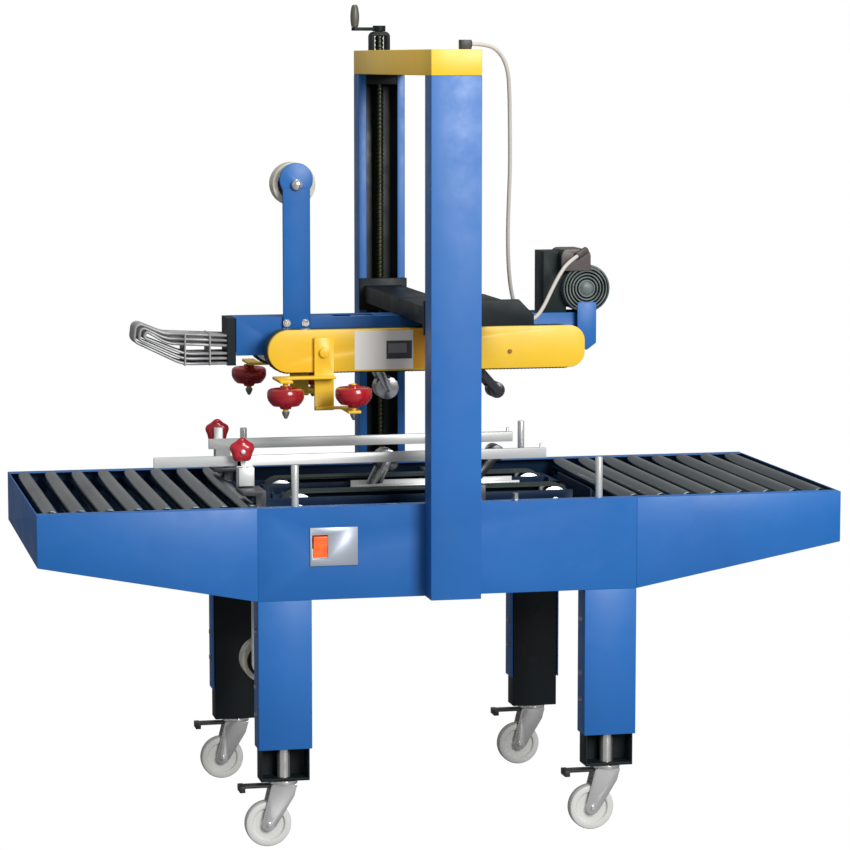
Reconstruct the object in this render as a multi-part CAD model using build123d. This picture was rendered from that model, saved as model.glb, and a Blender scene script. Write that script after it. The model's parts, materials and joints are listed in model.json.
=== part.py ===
from build123d import *
import math
import os

# Carton sealing machine: a roller table on four castered legs, two side belts below the
# carton and two above it, a tape head in each, and a head that two lead screws lift.
# +X is the way cartons travel, -Y is the operator's side, +Z is up. Millimetres.
# The origin is on the floor, under the middle of the machine.

# ---- overall frame ----
LENGTH = 1770.0  # over both end plates
PANEL_WIDTH = 726.0  # over the two side panels
COLUMN_DEPTH = 62.0  # how far each column stands out from its panel
SHEET = 3.0  # folded steel sheet
FLANGE = 30.0  # inward fold along the panel tops
BED_TOP = 738.0  # top edge of the side panels
PANEL_HEIGHT = 200.0
END_HEIGHT = 112.0  # of the tapered sides at the end plates
COLUMN_HEIGHT = 1113.0  # from the panels' lower edge to the bridge

# ---- legs and casters ----
LEG_X = 360.0
LEG_WIDTH = 116.0
LEG_DEPTH = 60.0
OUTER_LEG_BOTTOM = 215.0
INNER_LEG_BOTTOM = 145.0
INNER_LEG_TOP = 520.0
INNER_LEG_GAP = 2.0  # side gap between inner and outer leg
CASTER_INSET = 31.0  # swivel axis behind the panel face
CASTER_TRAIL = 35.0
CASTER_WHEEL_R = 50.0
CASTER_WHEEL_WIDTH = 30.0
CASTER_STEM_R = 14.0
CASTER_AXLE_R = 5.0
CASTER_HUB_R = 13.0
CASTER_STEM_TOP = 240.0
FORK_GAP = 3.0  # between the wheel and each cheek

# ---- columns, bridge and lift ----
COLUMN_WIDTH = 110.0
COLUMN_LIP = 18.0
BRIDGE_HEIGHT = 55.0
SCREW_INSET = 30.0  # screw axis inside the column's outer face
SCREW_R = 10.0
SPROCKET_R = 22.0
SPROCKET_LIFT = 14.0  # above the underside of the bridge
SPROCKET_T = 8.0
CHAIN_THICKNESS = 3.0
BEARING_HEIGHT = 24.0
CRANK_REACH = 58.0
CRANK_ARM_T = 8.0
CRANK_PIN_R = 4.0
CRANK_BRACKET_HEIGHT = 44.0
CRANK_BRACKET_WIDTH = 46.0
CRANK_BRACKET_WALL = 9.0
GRIP_HEIGHT = 52.0
GRIP_R = 10.5

# ---- conveyor ----
ROLLER_PITCH = 61.0
ROLLER_SETBACK = 5.0  # first roller past the seam
ROLLER_R = 19.0
ROLLER_WALL = 2.0
ROLLER_CAP = 4.0
ROLLER_AXLE_R = 6.0
ROLLER_PROUD = 3.0  # roller tops above the panel edge
ROLLER_SIDE_GAP = 3.0

# ---- lower belts ----
BELT_THICKNESS = 5.0
BELT_WIDTH = 50.0
BELT_SIDE_GAP = 4.0  # between a belt and the plates beside it
LOWER_BELT_Y = 117.0  # centre line of each lower belt
PULLEY_TO_LEG = 70.0  # lower pulley axes inside the leg axes
LOWER_PULLEY_R = 35.0
SHAFT_R = 12.0
BELT_PLATE = 4.0
BELT_PLATE_HEIGHT = 80.0
DECK_HOLES = (-230.0, -60.0, 125.0)  # left edges
DECK_HOLE = 130.0
DECK_DROP = 32.0  # deck sheet below the panel tops
GEARBOX_DEPTH = 70.0
LOWER_MOTOR_R = 44.0
LOWER_MOTOR_LENGTH = 190.0

# ---- head ----
CARTON_HEIGHT = 259.0  # between the lower and the upper belts
UPPER_BELT_Y = 109.0
UPPER_PULLEY_R = 43.0
UPPER_IDLER_X = -311.0
UPPER_DRIVE_X = 309.0
GUARD_LEFT = -358.0
GUARD_RIGHT = 356.0
GUARD_LIFT = 4.0  # lower edge above the belts' working face
GUARD_HEIGHT = 93.0
GUARD_FACE_Y = 150.0
GUARD_RIM = 14.0
GUARD_CORNER_R = 35.0
GUARD_SHEET = 2.0
BODY_LEFT = -412.0
BODY_RIGHT = 405.0
BODY_HALF_WIDTH = 46.0
BODY_LIFT = 34.0  # underside above the belts' working face
BODY_HEIGHT = 83.0
BODY_SHEET = 4.0
MOTOR_PLATE_WIDTH = 44.0
MOTOR_PLATE_RISE = 24.0
STAND_OFFS = (-130.0, 170.0)
STAND_OFF_R = 9.0
SLIDE_TUBE_R = 12.0
BEAM_WIDTH = 90.0
BEAM_HEIGHT = 39.0
BEAM_WALL = 5.0
SLIDER_WIDTH = 114.0
SLIDER_THICKNESS = 11.6
SLIDER_DROP = 18.0  # slider plates below the beam
SLIDER_RISE = 17.0  # and above it
GUSSET_X = 135.0  # straight side of the operator's gusset
GUSSET_TIP_X = 185.0
GUSSET_Y = -110.0
GUSSET_RISE = 11.0

SKI_RODS = 7
SKI_PITCH = 12.0
SKI_LAYERS = 3
SKI_LAYER_STEP = 11.0
SKI_ROD_R = 3.0
SKI_FOOT = 19.0
SKI_COMB = 3.0

# ---- tape supply and tape heads ----
TAPE_ARM_X = -277.0
TAPE_ARM_WIDTH = 61.0
TAPE_ARM_THICKNESS = 8.0
TAPE_ARM_HEAD_R = 37.0
TAPE_ARM_HEAD_RISE = 11.0  # centre of the round top above the axle
TAPE_AXLE_RISE = 293.0  # above the head body
TAPE_AXLE_R = 8.0
TAPE_ROLL_R = 48.0
TAPE_ROLL_WIDTH = 50.0
LOWER_ROLL_X = -352.0
LOWER_ROLL_DROP = 393.0  # below the panel tops
HEAD_PLATE_Y = 38.0  # outer face of the tape head side plates
HEAD_PLATE = 3.0
HEAD_PLATE_LEFT = -140.0
HEAD_PLATE_RIGHT = 235.0
HEAD_PLATE_HEIGHT = 113.0  # top above the carton face
FRONT_PIVOT_X = -110.0
REAR_PIVOT_X = 100.0
PIVOT_ABOVE_BELT = 39.0  # arm pivots, away from the carton face
FRONT_ROLLER_X = -67.0
FRONT_ROLLER_REACH = 47.0  # roller centre past the carton face
FRONT_ROLLER_R = 26.0
REAR_ROLLER_X = 186.0
REAR_ROLLER_REACH = 58.0
REAR_ROLLER_R = 18.0
ARM_ROLLER_WIDTH = 48.0
ARM_PLATE = 4.0
PIVOT_R = 6.0

# ---- side squeeze rollers on the head ----
SQUEEZE_PLATE_X = -236.0
SQUEEZE_PLATE_WIDTH = 43.0
SQUEEZE_PLATE_DROP = 79.0  # lower end below the belts' working face
SQUEEZE_PLATE_HEIGHT = 160.0
SQUEEZE_PLATE_T = 6.0
SQUEEZE_GAP = 4.0
SQUEEZE_ROLLER_Y = 250.0
SQUEEZE_FRONT_X = -337.0
SQUEEZE_REAR_X = -188.0
SQUEEZE_ROLLER_R = 40.0
SQUEEZE_ROLLER_HEIGHT = 38.0
SQUEEZE_ROLLER_DROP = 39.0
SQUEEZE_HUB = 6.0  # hub above and below the soft tread
SQUEEZE_AXLE_R = 6.0
SQUEEZE_BAR = 14.0  # half width of the arms
SLIDE_ROD_R = 7.0

# ---- carton guide rails ----
RAIL_Y = 152.0  # inner face of each rail at rest
RAIL_T = 8.0
NEAR_RAIL_LEFT = -612.0
FAR_RAIL_LEFT = -446.0
RAIL_RIGHT = 266.0
RAIL_RISE = 66.0  # underside above the panel tops
RAIL_HEIGHT = 23.0
RAIL_POST_T = 12.0
RAIL_FRONT_POST_X = -422.0
RAIL_REAR_POST_X = 95.0
RAIL_FOOT_Y = (-250.0, -215.0)
FRONT_BAR_TO_SEAM = 26.0
BAR_SIZE = 12.0
BAR_DROP = 20.0  # bar axis below the panel tops
CLAMP_HEIGHT = 41.0
KNOB_R = 29.0
KNOB_T = 24.0
KNOB_RISE = 36.0  # above the underside of the rail
KNOB_STUD_R = 5.0
GUARD_POST_X = 335.0
GUARD_POST_INSET = 13.0
GUARD_POST_R = 8.0
GUARD_POST_HEIGHT = 90.0

# ---- electrical ----
SWITCH_LEFT = -306.0
SWITCH_WIDTH = 104.0
SWITCH_RISE = 73.0  # above the panels' lower edge
SWITCH_HEIGHT = 83.0
SWITCH_PLATE_T = 3.0
ROCKER_INSET = 22.0
ROCKER_WIDTH = 30.0
ROCKER_HEIGHT = 46.0
ROCKER_TILT = 7.0
MOTOR_X = 383.0
MOTOR_RISE = 55.0  # motor axis above the head body
MOTOR_R = 49.0
COWL_R = 54.0
COWL_FACE_Y = 62.0
CABLE_D = 9.0
GLAND_R = 8.0
BRIDGE_GLAND_X = 44.0
BRIDGE_GLAND_INSET = 53.0  # from the columns' outer face
BRIDGE_GLAND_RISE = 11.0  # above the bridge
MOTOR_GLAND = (-27.0, -18.0, 74.0)  # from the motor's axis at the cowl's face
MOTOR_GLAND_AIM = (27.0, 16.0, 14.0)

# ---- fits ----
RUNNING = 0.05  # radial clearance of a shaft in its hole
GAP = 0.4  # between faces of pieces that move past each other

# The cable from the bridge to the head motor, by hand, from gland to gland.
CABLE_ROUTE = [
    (44.0, -372.0, 1717.0),
    (78.0, -372.0, 1717.0),
    (107.0, -371.0, 1700.0),
    (125.0, -366.0, 1664.0),
    (131.0, -355.0, 1612.0),
    (136.0, -339.0, 1540.0),
    (141.0, -322.0, 1455.0),
    (143.0, -300.0, 1372.0),
    (147.0, -277.0, 1290.0),
    (159.0, -243.0, 1211.0),
    (177.0, -208.0, 1157.0),
    (198.0, -177.0, 1124.0),
    (223.0, -154.0, 1109.0),
    (249.0, -138.0, 1117.0),
    (269.0, -127.0, 1142.0),
    (287.0, -117.0, 1174.0),
    (307.0, -107.0, 1206.0),
    (329.0, -96.0, 1233.0),
    (356.0, -80.0, 1247.0),
]

# ---- worked out from the above ----
PANEL_Y = PANEL_WIDTH / 2
INNER_Y = PANEL_Y - SHEET
COLUMN_Y = PANEL_Y + COLUMN_DEPTH
END_X = LENGTH / 2
SEAM_X = LEG_X + LEG_WIDTH / 2  # where the roller tables bolt to the centre bed
BED_BOTTOM = BED_TOP - PANEL_HEIGHT
END_BOTTOM = BED_TOP - END_HEIGHT
BRIDGE_BOTTOM = BED_BOTTOM + COLUMN_HEIGHT
BRIDGE_TOP = BRIDGE_BOTTOM + BRIDGE_HEIGHT
SCREW_Y = COLUMN_Y - SCREW_INSET
SCREW_BOTTOM = BED_BOTTOM + 10.0
FIRST_ROLLER_X = SEAM_X + ROLLER_SETBACK
ROLLER_COUNT = 1 + int((END_X - SHEET - ROLLER_R - FIRST_ROLLER_X) / ROLLER_PITCH)  # in each table
CARTON_FLOOR = BED_TOP + ROLLER_PROUD + 1.0
ROLLER_BOTTOM = BED_TOP + ROLLER_PROUD - 2 * ROLLER_R
LOWER_PULLEY_X = LEG_X - PULLEY_TO_LEG
LOWER_PULLEY_Z = CARTON_FLOOR - BELT_THICKNESS - LOWER_PULLEY_R
BELT_PLATE_FACE = LOWER_BELT_Y + BELT_WIDTH / 2 + BELT_SIDE_GAP
BELT_PLATE_BACK = BELT_PLATE_FACE + BELT_PLATE
INNER_PLATE_FACE = LOWER_BELT_Y - BELT_WIDTH / 2 - BELT_SIDE_GAP
DECK_Z = BED_TOP - DECK_DROP
CROSS_X = LEG_X + 15.0  # outer faces of the deck's cross plates
TIE_BOTTOM = BED_BOTTOM + 62.0
HEAD_BELT_BOTTOM = CARTON_FLOOR + CARTON_HEIGHT
UPPER_PULLEY_Z = HEAD_BELT_BOTTOM + BELT_THICKNESS + UPPER_PULLEY_R
GUARD_BOTTOM = HEAD_BELT_BOTTOM + GUARD_LIFT
GUARD_TOP = GUARD_BOTTOM + GUARD_HEIGHT
BODY_BOTTOM = HEAD_BELT_BOTTOM + BODY_LIFT
BODY_TOP = BODY_BOTTOM + BODY_HEIGHT
BEAM_TOP = BODY_TOP + BEAM_HEIGHT
SLIDER_BOTTOM = BODY_TOP - SLIDER_DROP
SLIDER_TOP = BEAM_TOP + SLIDER_RISE
TAPE_AXLE_Z = BODY_TOP + TAPE_AXLE_RISE
LOWER_ROLL_Z = BED_TOP - LOWER_ROLL_DROP
MOTOR_Z = BODY_TOP + MOTOR_RISE
CASTER_Y = PANEL_Y - CASTER_INSET
SWITCH_FACE_Y = PANEL_Y + SWITCH_PLATE_T
SWITCH_BOTTOM = BED_BOTTOM + SWITCH_RISE
SQUEEZE_PLATE_Y = GUARD_FACE_Y + SQUEEZE_GAP
SQUEEZE_ROLLER_Z = HEAD_BELT_BOTTOM - SQUEEZE_ROLLER_DROP
RAIL_BOTTOM = BED_TOP + RAIL_RISE
FRONT_BAR_X = -SEAM_X + FRONT_BAR_TO_SEAM
BAR_Z = BED_TOP - BAR_DROP
KNOB_Z = RAIL_BOTTOM + KNOB_RISE
GUARD_POST_Y = PANEL_Y - GUARD_POST_INSET


def block(x, y, z):
    """A box from the two limits along each axis."""
    size = [abs(pair[1] - pair[0]) for pair in (x, y, z)]
    low = [min(pair) for pair in (x, y, z)]
    return Pos(*low) * Box(*size, align=(Align.MIN, Align.MIN, Align.MIN))


def rod_x(radius, x, y, z):
    """A rod along X, from x[0] to x[1]."""
    turned = Rot(0, 90, 0) * Cylinder(radius, abs(x[1] - x[0]))
    return Pos((x[0] + x[1]) / 2, y, z) * turned


def rod_y(radius, x, y, z):
    """A rod along Y, from y[0] to y[1]."""
    turned = Rot(90, 0, 0) * Cylinder(radius, abs(y[1] - y[0]))
    return Pos(x, (y[0] + y[1]) / 2, z) * turned


def rod_z(radius, x, y, z):
    """A rod along Z, from z[0] to z[1]."""
    return Pos(x, y, (z[0] + z[1]) / 2) * Cylinder(radius, abs(z[1] - z[0]))


def plate_y(outline, y):
    """A flat plate with an outline in X and Z, from y[0] to y[1]."""
    points = [(px, pz) for px, pz in outline]
    face = Plane.XZ * make_face(Polyline(*points, close=True))
    solid = extrude(face, amount=abs(y[1] - y[0]))
    return Pos(0, max(y), 0) * solid


def far(solid):
    """The same piece on the far side of the machine."""
    return mirror(solid, about=Plane.XZ)


def both_sides(solid):
    return [solid, far(solid)]


def save(name, solids):
    """Write one node; a list of solids stays separate solids."""
    flat = []
    for item in solids if isinstance(solids, list) else [solids]:
        flat.extend(item.solids())
    export_step(Compound(children=flat), f"parts/{name}.step")


# ---- table frame ----


def side_panel():
    """The operator's side panel of the centre bed: a folded sheet."""
    sheet = block((-SEAM_X, SEAM_X), (-PANEL_Y, -INNER_Y), (BED_BOTTOM, BED_TOP))
    top = block((-SEAM_X, SEAM_X), (-INNER_Y, -PANEL_Y + FLANGE), (BED_TOP - SHEET, BED_TOP))
    reach = LEG_X - LEG_WIDTH / 2
    foot = block((-reach, reach), (-INNER_Y, -PANEL_Y + FLANGE), (BED_BOTTOM, BED_BOTTOM + SHEET))
    return sheet + top + foot


def rocker_opening(depth):
    """The hole behind the power switch, through the panel and its plate."""
    centre_x = SWITCH_LEFT + ROCKER_INSET
    centre_z = SWITCH_BOTTOM + SWITCH_HEIGHT / 2
    half_w = ROCKER_WIDTH / 2 + 1.5
    half_h = ROCKER_HEIGHT / 2 + 2.0
    x = (centre_x - half_w, centre_x + half_w)
    z = (centre_z - half_h, centre_z + half_h)
    return block(x, depth, z)


def outer_leg(x_sign, y_sign):
    """A channel open towards the middle of the machine, flush with the panel face."""
    half = LEG_WIDTH / 2
    web = block((-half, half), (-PANEL_Y, -INNER_Y), (OUTER_LEG_BOTTOM, BED_BOTTOM))
    y = (-INNER_Y, -PANEL_Y + LEG_DEPTH)
    z = (OUTER_LEG_BOTTOM, ROLLER_BOTTOM - 2 * SHEET)
    left = block((-half, -half + SHEET), y, z)
    right = block((half - SHEET, half), y, z)
    leg = Pos(x_sign * LEG_X, 0, 0) * (web + left + right)
    return leg if y_sign < 0 else far(leg)


def inner_leg(x_sign, y_sign):
    """A channel open outwards that slides in the outer leg and carries a caster."""
    half = LEG_WIDTH / 2 - SHEET - INNER_LEG_GAP
    near = -INNER_Y + INNER_LEG_GAP
    back = -PANEL_Y + LEG_DEPTH - INNER_LEG_GAP
    z = (INNER_LEG_BOTTOM, INNER_LEG_TOP)
    web = block((-half, half), (back - SHEET, back), z)
    left = block((-half, -half + SHEET), (near, back), z)
    right = block((half - SHEET, half), (near, back), z)
    foot = block((-half, half), (near, back), (INNER_LEG_BOTTOM, INNER_LEG_BOTTOM + 2 * SHEET))
    socket = rod_z(CASTER_STEM_R + RUNNING, 0, -CASTER_Y, (INNER_LEG_BOTTOM - 1, INNER_LEG_BOTTOM + 9))
    leg = Pos(x_sign * LEG_X, 0, 0) * (web + left + right + foot - socket)
    return leg if y_sign < 0 else far(leg)


def roller_table(x_sign):
    """One end table: tapered sides with folded tops, an end plate and a cross tie."""
    outline = [
        (SEAM_X, BED_TOP),
        (END_X, BED_TOP),
        (END_X, END_BOTTOM),
        (SEAM_X, BED_BOTTOM),
    ]
    side = plate_y(outline, (-PANEL_Y, -INNER_Y))
    side += block((SEAM_X, END_X), (-INNER_Y, -PANEL_Y + FLANGE), (BED_TOP - SHEET, BED_TOP))
    end = block((END_X - SHEET, END_X), (-INNER_Y, INNER_Y), (END_BOTTOM, BED_TOP))
    tie_x = FIRST_ROLLER_X + ROLLER_R + 6.0
    tie = block((tie_x, tie_x + SHEET), (-INNER_Y, INNER_Y), (BED_BOTTOM + 30, ROLLER_BOTTOM - 25))
    table = side + far(side) + end + tie
    return table if x_sign > 0 else mirror(table, about=Plane.YZ)


def conveyor_roller(x):
    """A tube with pressed end caps on its fixed axle, between the two side plates."""
    half = INNER_Y - FLANGE + SHEET - ROLLER_SIDE_GAP
    z = BED_TOP + ROLLER_PROUD - ROLLER_R
    drum = rod_y(ROLLER_R, x, (-half, half), z)
    drum -= rod_y(ROLLER_R - ROLLER_WALL, x, (-half + ROLLER_CAP, half - ROLLER_CAP), z)
    return drum + rod_y(ROLLER_AXLE_R, x, (-INNER_Y, INNER_Y), z)


def deck_half():
    """Operator's side of the deck: the outer belt plate and the deck sheet."""
    plate_z = (BED_TOP - BELT_PLATE_HEIGHT - 8.0, BED_TOP - 8.0)
    sheet_z = (DECK_Z, DECK_Z + SHEET)
    cut_z = (DECK_Z - 1, DECK_Z + SHEET + 1)
    outer = block((FRONT_BAR_X - 10, LEG_X - 30), (-BELT_PLATE_BACK, -BELT_PLATE_FACE), plate_z)
    deck = block((-CROSS_X, CROSS_X), (-PANEL_Y + LEG_DEPTH, -BELT_PLATE_BACK), sheet_z)
    slot = (RAIL_REAR_POST_X - 17, RAIL_REAR_POST_X + 17)
    deck -= block(slot, (-PANEL_Y, -BELT_PLATE_BACK - 1), cut_z)
    for x in DECK_HOLES:
        deck -= block((x, x + DECK_HOLE), (-PANEL_Y + 78, -BELT_PLATE_FACE - 40), cut_z)
    half = outer + deck
    for x in (-LOWER_PULLEY_X, LOWER_PULLEY_X):
        half -= rod_y(SHAFT_R + RUNNING, x, (-PANEL_Y, PANEL_Y), LOWER_PULLEY_Z)
    return half


def belt_tray():
    """The inner belt plates, the floor under the lower tape head, and their ties."""
    plate_z = (BED_TOP - BELT_PLATE_HEIGHT - 8.0, BED_TOP - 8.0)
    x = (-LEG_X + 20, LEG_X - 30)
    inner = block(x, (-INNER_PLATE_FACE, -INNER_PLATE_FACE + BELT_PLATE), plate_z)
    for shaft_x in (-LOWER_PULLEY_X, LOWER_PULLEY_X):
        inner -= rod_y(SHAFT_R + RUNNING, shaft_x, (-PANEL_Y, PANEL_Y), LOWER_PULLEY_Z)
    floor = block(x, (-INNER_PLATE_FACE, INNER_PLATE_FACE), (plate_z[0] - SHEET, plate_z[0]))
    hole_x = (HEAD_PLATE_LEFT - 5, HEAD_PLATE_RIGHT + 5)
    floor -= block(hole_x, (-HEAD_PLATE_Y, HEAD_PLATE_Y), (plate_z[0] - 50, plate_z[0] + 50))
    tray = inner + far(inner) + floor
    for start in (-LEG_X + 22, LEG_X - 34):
        y = (-INNER_PLATE_FACE + BELT_PLATE, -HEAD_PLATE_Y - 12)
        tie = block((start, start + BELT_PLATE), y, plate_z)
        tray += tie + far(tie)
    return tray


def bed_deck():
    """Deck sheets, belt plates and cross plates that tie the two panels together."""
    frame = deck_half() + far(deck_half())
    for sign in (-1, 1):
        x = (sign * CROSS_X, sign * (CROSS_X - SHEET))
        frame += block(x, (-INNER_Y, INNER_Y), (TIE_BOTTOM, DECK_Z))
        frame += block(x, (-BELT_PLATE_FACE, BELT_PLATE_FACE), (DECK_Z, BED_TOP - 8.0))
    return [frame, belt_tray()]


def rail_brackets():
    """Cross bars that the guide rails slide on, and four upright guard posts."""
    pieces = []
    half = BAR_SIZE / 2
    for x in (FRONT_BAR_X, RAIL_REAR_POST_X):
        bar = block((x - half, x + half), (-INNER_Y, -BELT_PLATE_BACK), (BAR_Z - half, BAR_Z + half))
        pieces += both_sides(bar)
    for x in (-GUARD_POST_X, GUARD_POST_X):
        post = rod_z(GUARD_POST_R, x, -GUARD_POST_Y, (BED_TOP, BED_TOP + GUARD_POST_HEIGHT))
        pieces += both_sides(post)
    return pieces


# ---- columns, bridge and lift ----


def column():
    """The operator's column: a lipped channel open towards the carton."""
    half = COLUMN_WIDTH / 2
    z = (BED_BOTTOM, BRIDGE_BOTTOM)
    web = block((-half, half), (-COLUMN_Y, -COLUMN_Y + SHEET), z)
    wall = block((half - SHEET, half), (-COLUMN_Y + SHEET, -PANEL_Y), z)
    lip = block((half - COLUMN_LIP, half - SHEET), (-PANEL_Y - SHEET, -PANEL_Y), z)
    side = wall + lip
    return web + side + mirror(side, about=Plane.YZ)


def bridge_cover():
    """A folded cover over both column tops, open below."""
    half = COLUMN_WIDTH / 2
    shell = block((-half, half), (-COLUMN_Y, COLUMN_Y), (BRIDGE_BOTTOM, BRIDGE_TOP))
    inside = half - SHEET
    y = COLUMN_Y - SHEET
    shell -= block((-inside, inside), (-y, y), (BRIDGE_BOTTOM - 1, BRIDGE_TOP - SHEET))
    return shell - rod_z(SCREW_R + 2, 0, SCREW_Y, (BRIDGE_TOP - 5, BRIDGE_TOP + 1))


def lead_screw(y, top):
    """A lead screw with the sprocket that the chain in the bridge turns."""
    sprocket_z = BRIDGE_BOTTOM + SPROCKET_LIFT
    screw = rod_z(SCREW_R, 0, y, (SCREW_BOTTOM, top))
    return screw + rod_z(SPROCKET_R, 0, y, (sprocket_z, sprocket_z + SPROCKET_T))


def screw_chain():
    """The roller chain round both sprockets, as one closed band."""
    inside = SPROCKET_R + 2 * GAP
    outside = inside + CHAIN_THICKNESS
    outer = SlotCenterToCenter(2 * SCREW_Y, 2 * outside, rotation=90)
    inner = SlotCenterToCenter(2 * SCREW_Y, 2 * inside, rotation=90)
    band = extrude(outer - inner, amount=SPROCKET_T - 2)
    return Pos(0, 0, BRIDGE_BOTTOM + SPROCKET_LIFT + 1) * band


def crank_arm():
    """Far lead screw's crank: a hub, a flat arm and the pin for the grip."""
    z = BRIDGE_TOP + CRANK_BRACKET_HEIGHT
    arm_z = (z + 2, z + 2 + CRANK_ARM_T)
    hub = rod_z(15.0, 0, SCREW_Y, (z + GAP, z + 14))
    arm = block((-CRANK_REACH, 0), (SCREW_Y - 8, SCREW_Y + 8), arm_z)
    arm += rod_z(8.0, -CRANK_REACH, SCREW_Y, arm_z)
    pin = rod_z(CRANK_PIN_R, -CRANK_REACH, SCREW_Y, (arm_z[1], arm_z[1] + GRIP_HEIGHT - 2))
    bore = rod_z(SCREW_R, 0, SCREW_Y, (z - 1, z + 12))
    return hub + arm + pin - bore


def crank_grip():
    """A hand grip that spins on the crank's pin."""
    z = BRIDGE_TOP + CRANK_BRACKET_HEIGHT + 2 + CRANK_ARM_T + GAP
    profile = [
        (0, 0),
        (GRIP_R - 3, 0),
        (GRIP_R, 12),
        (GRIP_R - 1, GRIP_HEIGHT - 10),
        (GRIP_R - 5, GRIP_HEIGHT),
        (0, GRIP_HEIGHT),
    ]
    face = Plane.XZ * make_face(Polyline(*profile, close=True))
    grip = revolve(face, axis=Axis.Z)
    grip -= Pos(0, 0, GRIP_HEIGHT / 2 - 2) * Cylinder(CRANK_PIN_R + RUNNING, GRIP_HEIGHT)
    return Pos(-CRANK_REACH, SCREW_Y, z) * grip


def screw_bearing(y, z):
    """A bearing block inside a column, bored for the lead screw."""
    half = COLUMN_WIDTH / 2 - SHEET
    sign = 1 if y > 0 else -1
    y_limits = (sign * (PANEL_Y + SHEET), sign * (COLUMN_Y - SHEET))
    return block((-half, half), y_limits, z) - rod_z(SCREW_R + RUNNING, 0, y, (z[0] - 1, z[1] + 1))


def crank_bracket():
    """The arched bracket that steadies the top of the far lead screw."""
    half = CRANK_BRACKET_WIDTH / 2
    top = BRIDGE_TOP + CRANK_BRACKET_HEIGHT
    y = (SCREW_Y - 17, SCREW_Y + 17)
    arch = block((-half, half), y, (BRIDGE_TOP, top))
    shoulders = arch.edges().filter_by(Axis.Y).group_by(Axis.Z)[-1]
    arch = fillet(shoulders, 12.0)
    inside = half - CRANK_BRACKET_WALL
    arch -= block((-inside, inside), (y[0] - 1, y[1] + 1), (BRIDGE_TOP - 1, top - 10))
    return arch - rod_z(SCREW_R + RUNNING, 0, SCREW_Y, (top - 12, top + 1))


def frame_fittings():
    """Bolts, screw bearings, the crank's bracket and the cable glands on the frame."""
    pieces = []
    bolt_y = PANEL_Y - LEG_DEPTH / 2
    for x_sign in (-1, 1):
        for z in (OUTER_LEG_BOTTOM + 75, OUTER_LEG_BOTTOM + 135, OUTER_LEG_BOTTOM + 255):
            face = x_sign * (LEG_X + LEG_WIDTH / 2)
            pieces += both_sides(rod_x(7.0, (face, face + x_sign * 6), -bolt_y, z))
            face = x_sign * (LEG_X - LEG_WIDTH / 2)
            pieces += both_sides(rod_x(7.0, (face, face - x_sign * 6), -bolt_y, z))
    for x_sign in (-1, 1):
        for z in (BED_BOTTOM + 42, BED_BOTTOM + 92, BED_BOTTOM + 142):
            x = x_sign * (SEAM_X + 14)
            pieces += both_sides(rod_y(5.0, x, (-INNER_Y, -INNER_Y + 4), z))
    for z in (BED_BOTTOM + 42, BED_TOP - 38):
        for x in (-30.0, 30.0):
            pieces += both_sides(rod_y(6.0, x, (-COLUMN_Y + SHEET, -COLUMN_Y + SHEET + 6), z))
    for y in (-SCREW_Y, SCREW_Y):
        pieces.append(screw_bearing(y, (BED_BOTTOM + 4, BED_BOTTOM + 4 + BEARING_HEIGHT)))
        pieces.append(screw_bearing(y, (BRIDGE_BOTTOM - BEARING_HEIGHT, BRIDGE_BOTTOM)))
    pieces.append(crank_bracket())
    start = Vector(BRIDGE_GLAND_X, -COLUMN_Y + BRIDGE_GLAND_INSET, BRIDGE_TOP + BRIDGE_GLAND_RISE)
    foot_y = (start.Y - 10, start.Y + 10)
    foot = block((start.X - 26, start.X - 2), foot_y, (BRIDGE_TOP, start.Z + GLAND_R + 1))
    pieces.append(foot + rod_x(GLAND_R, (start.X - 8, start.X), start.Y, start.Z))
    pieces.append(rod_y(11.0, 250.0, (PANEL_Y, PANEL_Y + 22), TIE_BOTTOM))
    return pieces


# ---- casters ----


def caster_place(x_sign, y_sign):
    return Pos(x_sign * LEG_X, y_sign * CASTER_Y, 0)


def caster_fork():
    """Swivel plate, stem and two cheeks, with the axle and the brake pedal."""
    top = INNER_LEG_BOTTOM - GAP
    plate_bottom = top - 14
    fork = rod_z(30.0, 0, 0, (top - 8, top))
    fork += rod_z(CASTER_STEM_R, 0, 0, (top, CASTER_STEM_TOP))
    inner = CASTER_WHEEL_WIDTH / 2 + FORK_GAP
    outer = inner + 3.0
    fork += block((-30, 26), (-outer, outer), (plate_bottom, top - 8))
    axle_z = CASTER_WHEEL_R
    cheek = plate_y(
        [
            (-30, plate_bottom + 3),
            (26, plate_bottom + 3),
            (20, plate_bottom - 20),
            (-CASTER_TRAIL + 14, axle_z - 6),
            (-CASTER_TRAIL - 12, axle_z - 6),
            (-CASTER_TRAIL - 12, axle_z + 14),
        ],
        (-outer, -inner),
    )
    cheek += rod_y(14.0, -CASTER_TRAIL, (-outer, -inner), axle_z)
    fork += cheek + far(cheek)
    fork += rod_y(CASTER_AXLE_R, -CASTER_TRAIL, (-outer - 5, outer + 5), axle_z)
    pedal = block((-92, -30), (-14, 14), (plate_bottom - 1, plate_bottom + 5))
    pedal += block((-98, -86), (-19, 19), (plate_bottom - 9, plate_bottom + 5))
    return [fork, pedal]


def caster_wheel():
    """A solid wheel with a raised tread, bored for its axle."""
    half = CASTER_WHEEL_WIDTH / 2
    axle_z = CASTER_WHEEL_R
    wheel = rod_y(CASTER_WHEEL_R, -CASTER_TRAIL, (-half, half), axle_z)
    for sign in (-1, 1):
        face = sign * half
        wheel -= rod_y(CASTER_WHEEL_R - CASTER_HUB_R, -CASTER_TRAIL, (face, face - sign * 5), axle_z)
    wheel += rod_y(CASTER_HUB_R, -CASTER_TRAIL, (-half - 2, half + 2), axle_z)
    return wheel - rod_y(CASTER_AXLE_R + RUNNING, -CASTER_TRAIL, (-half - 3, half + 3), axle_z)


# ---- belts and pulleys ----


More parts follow.
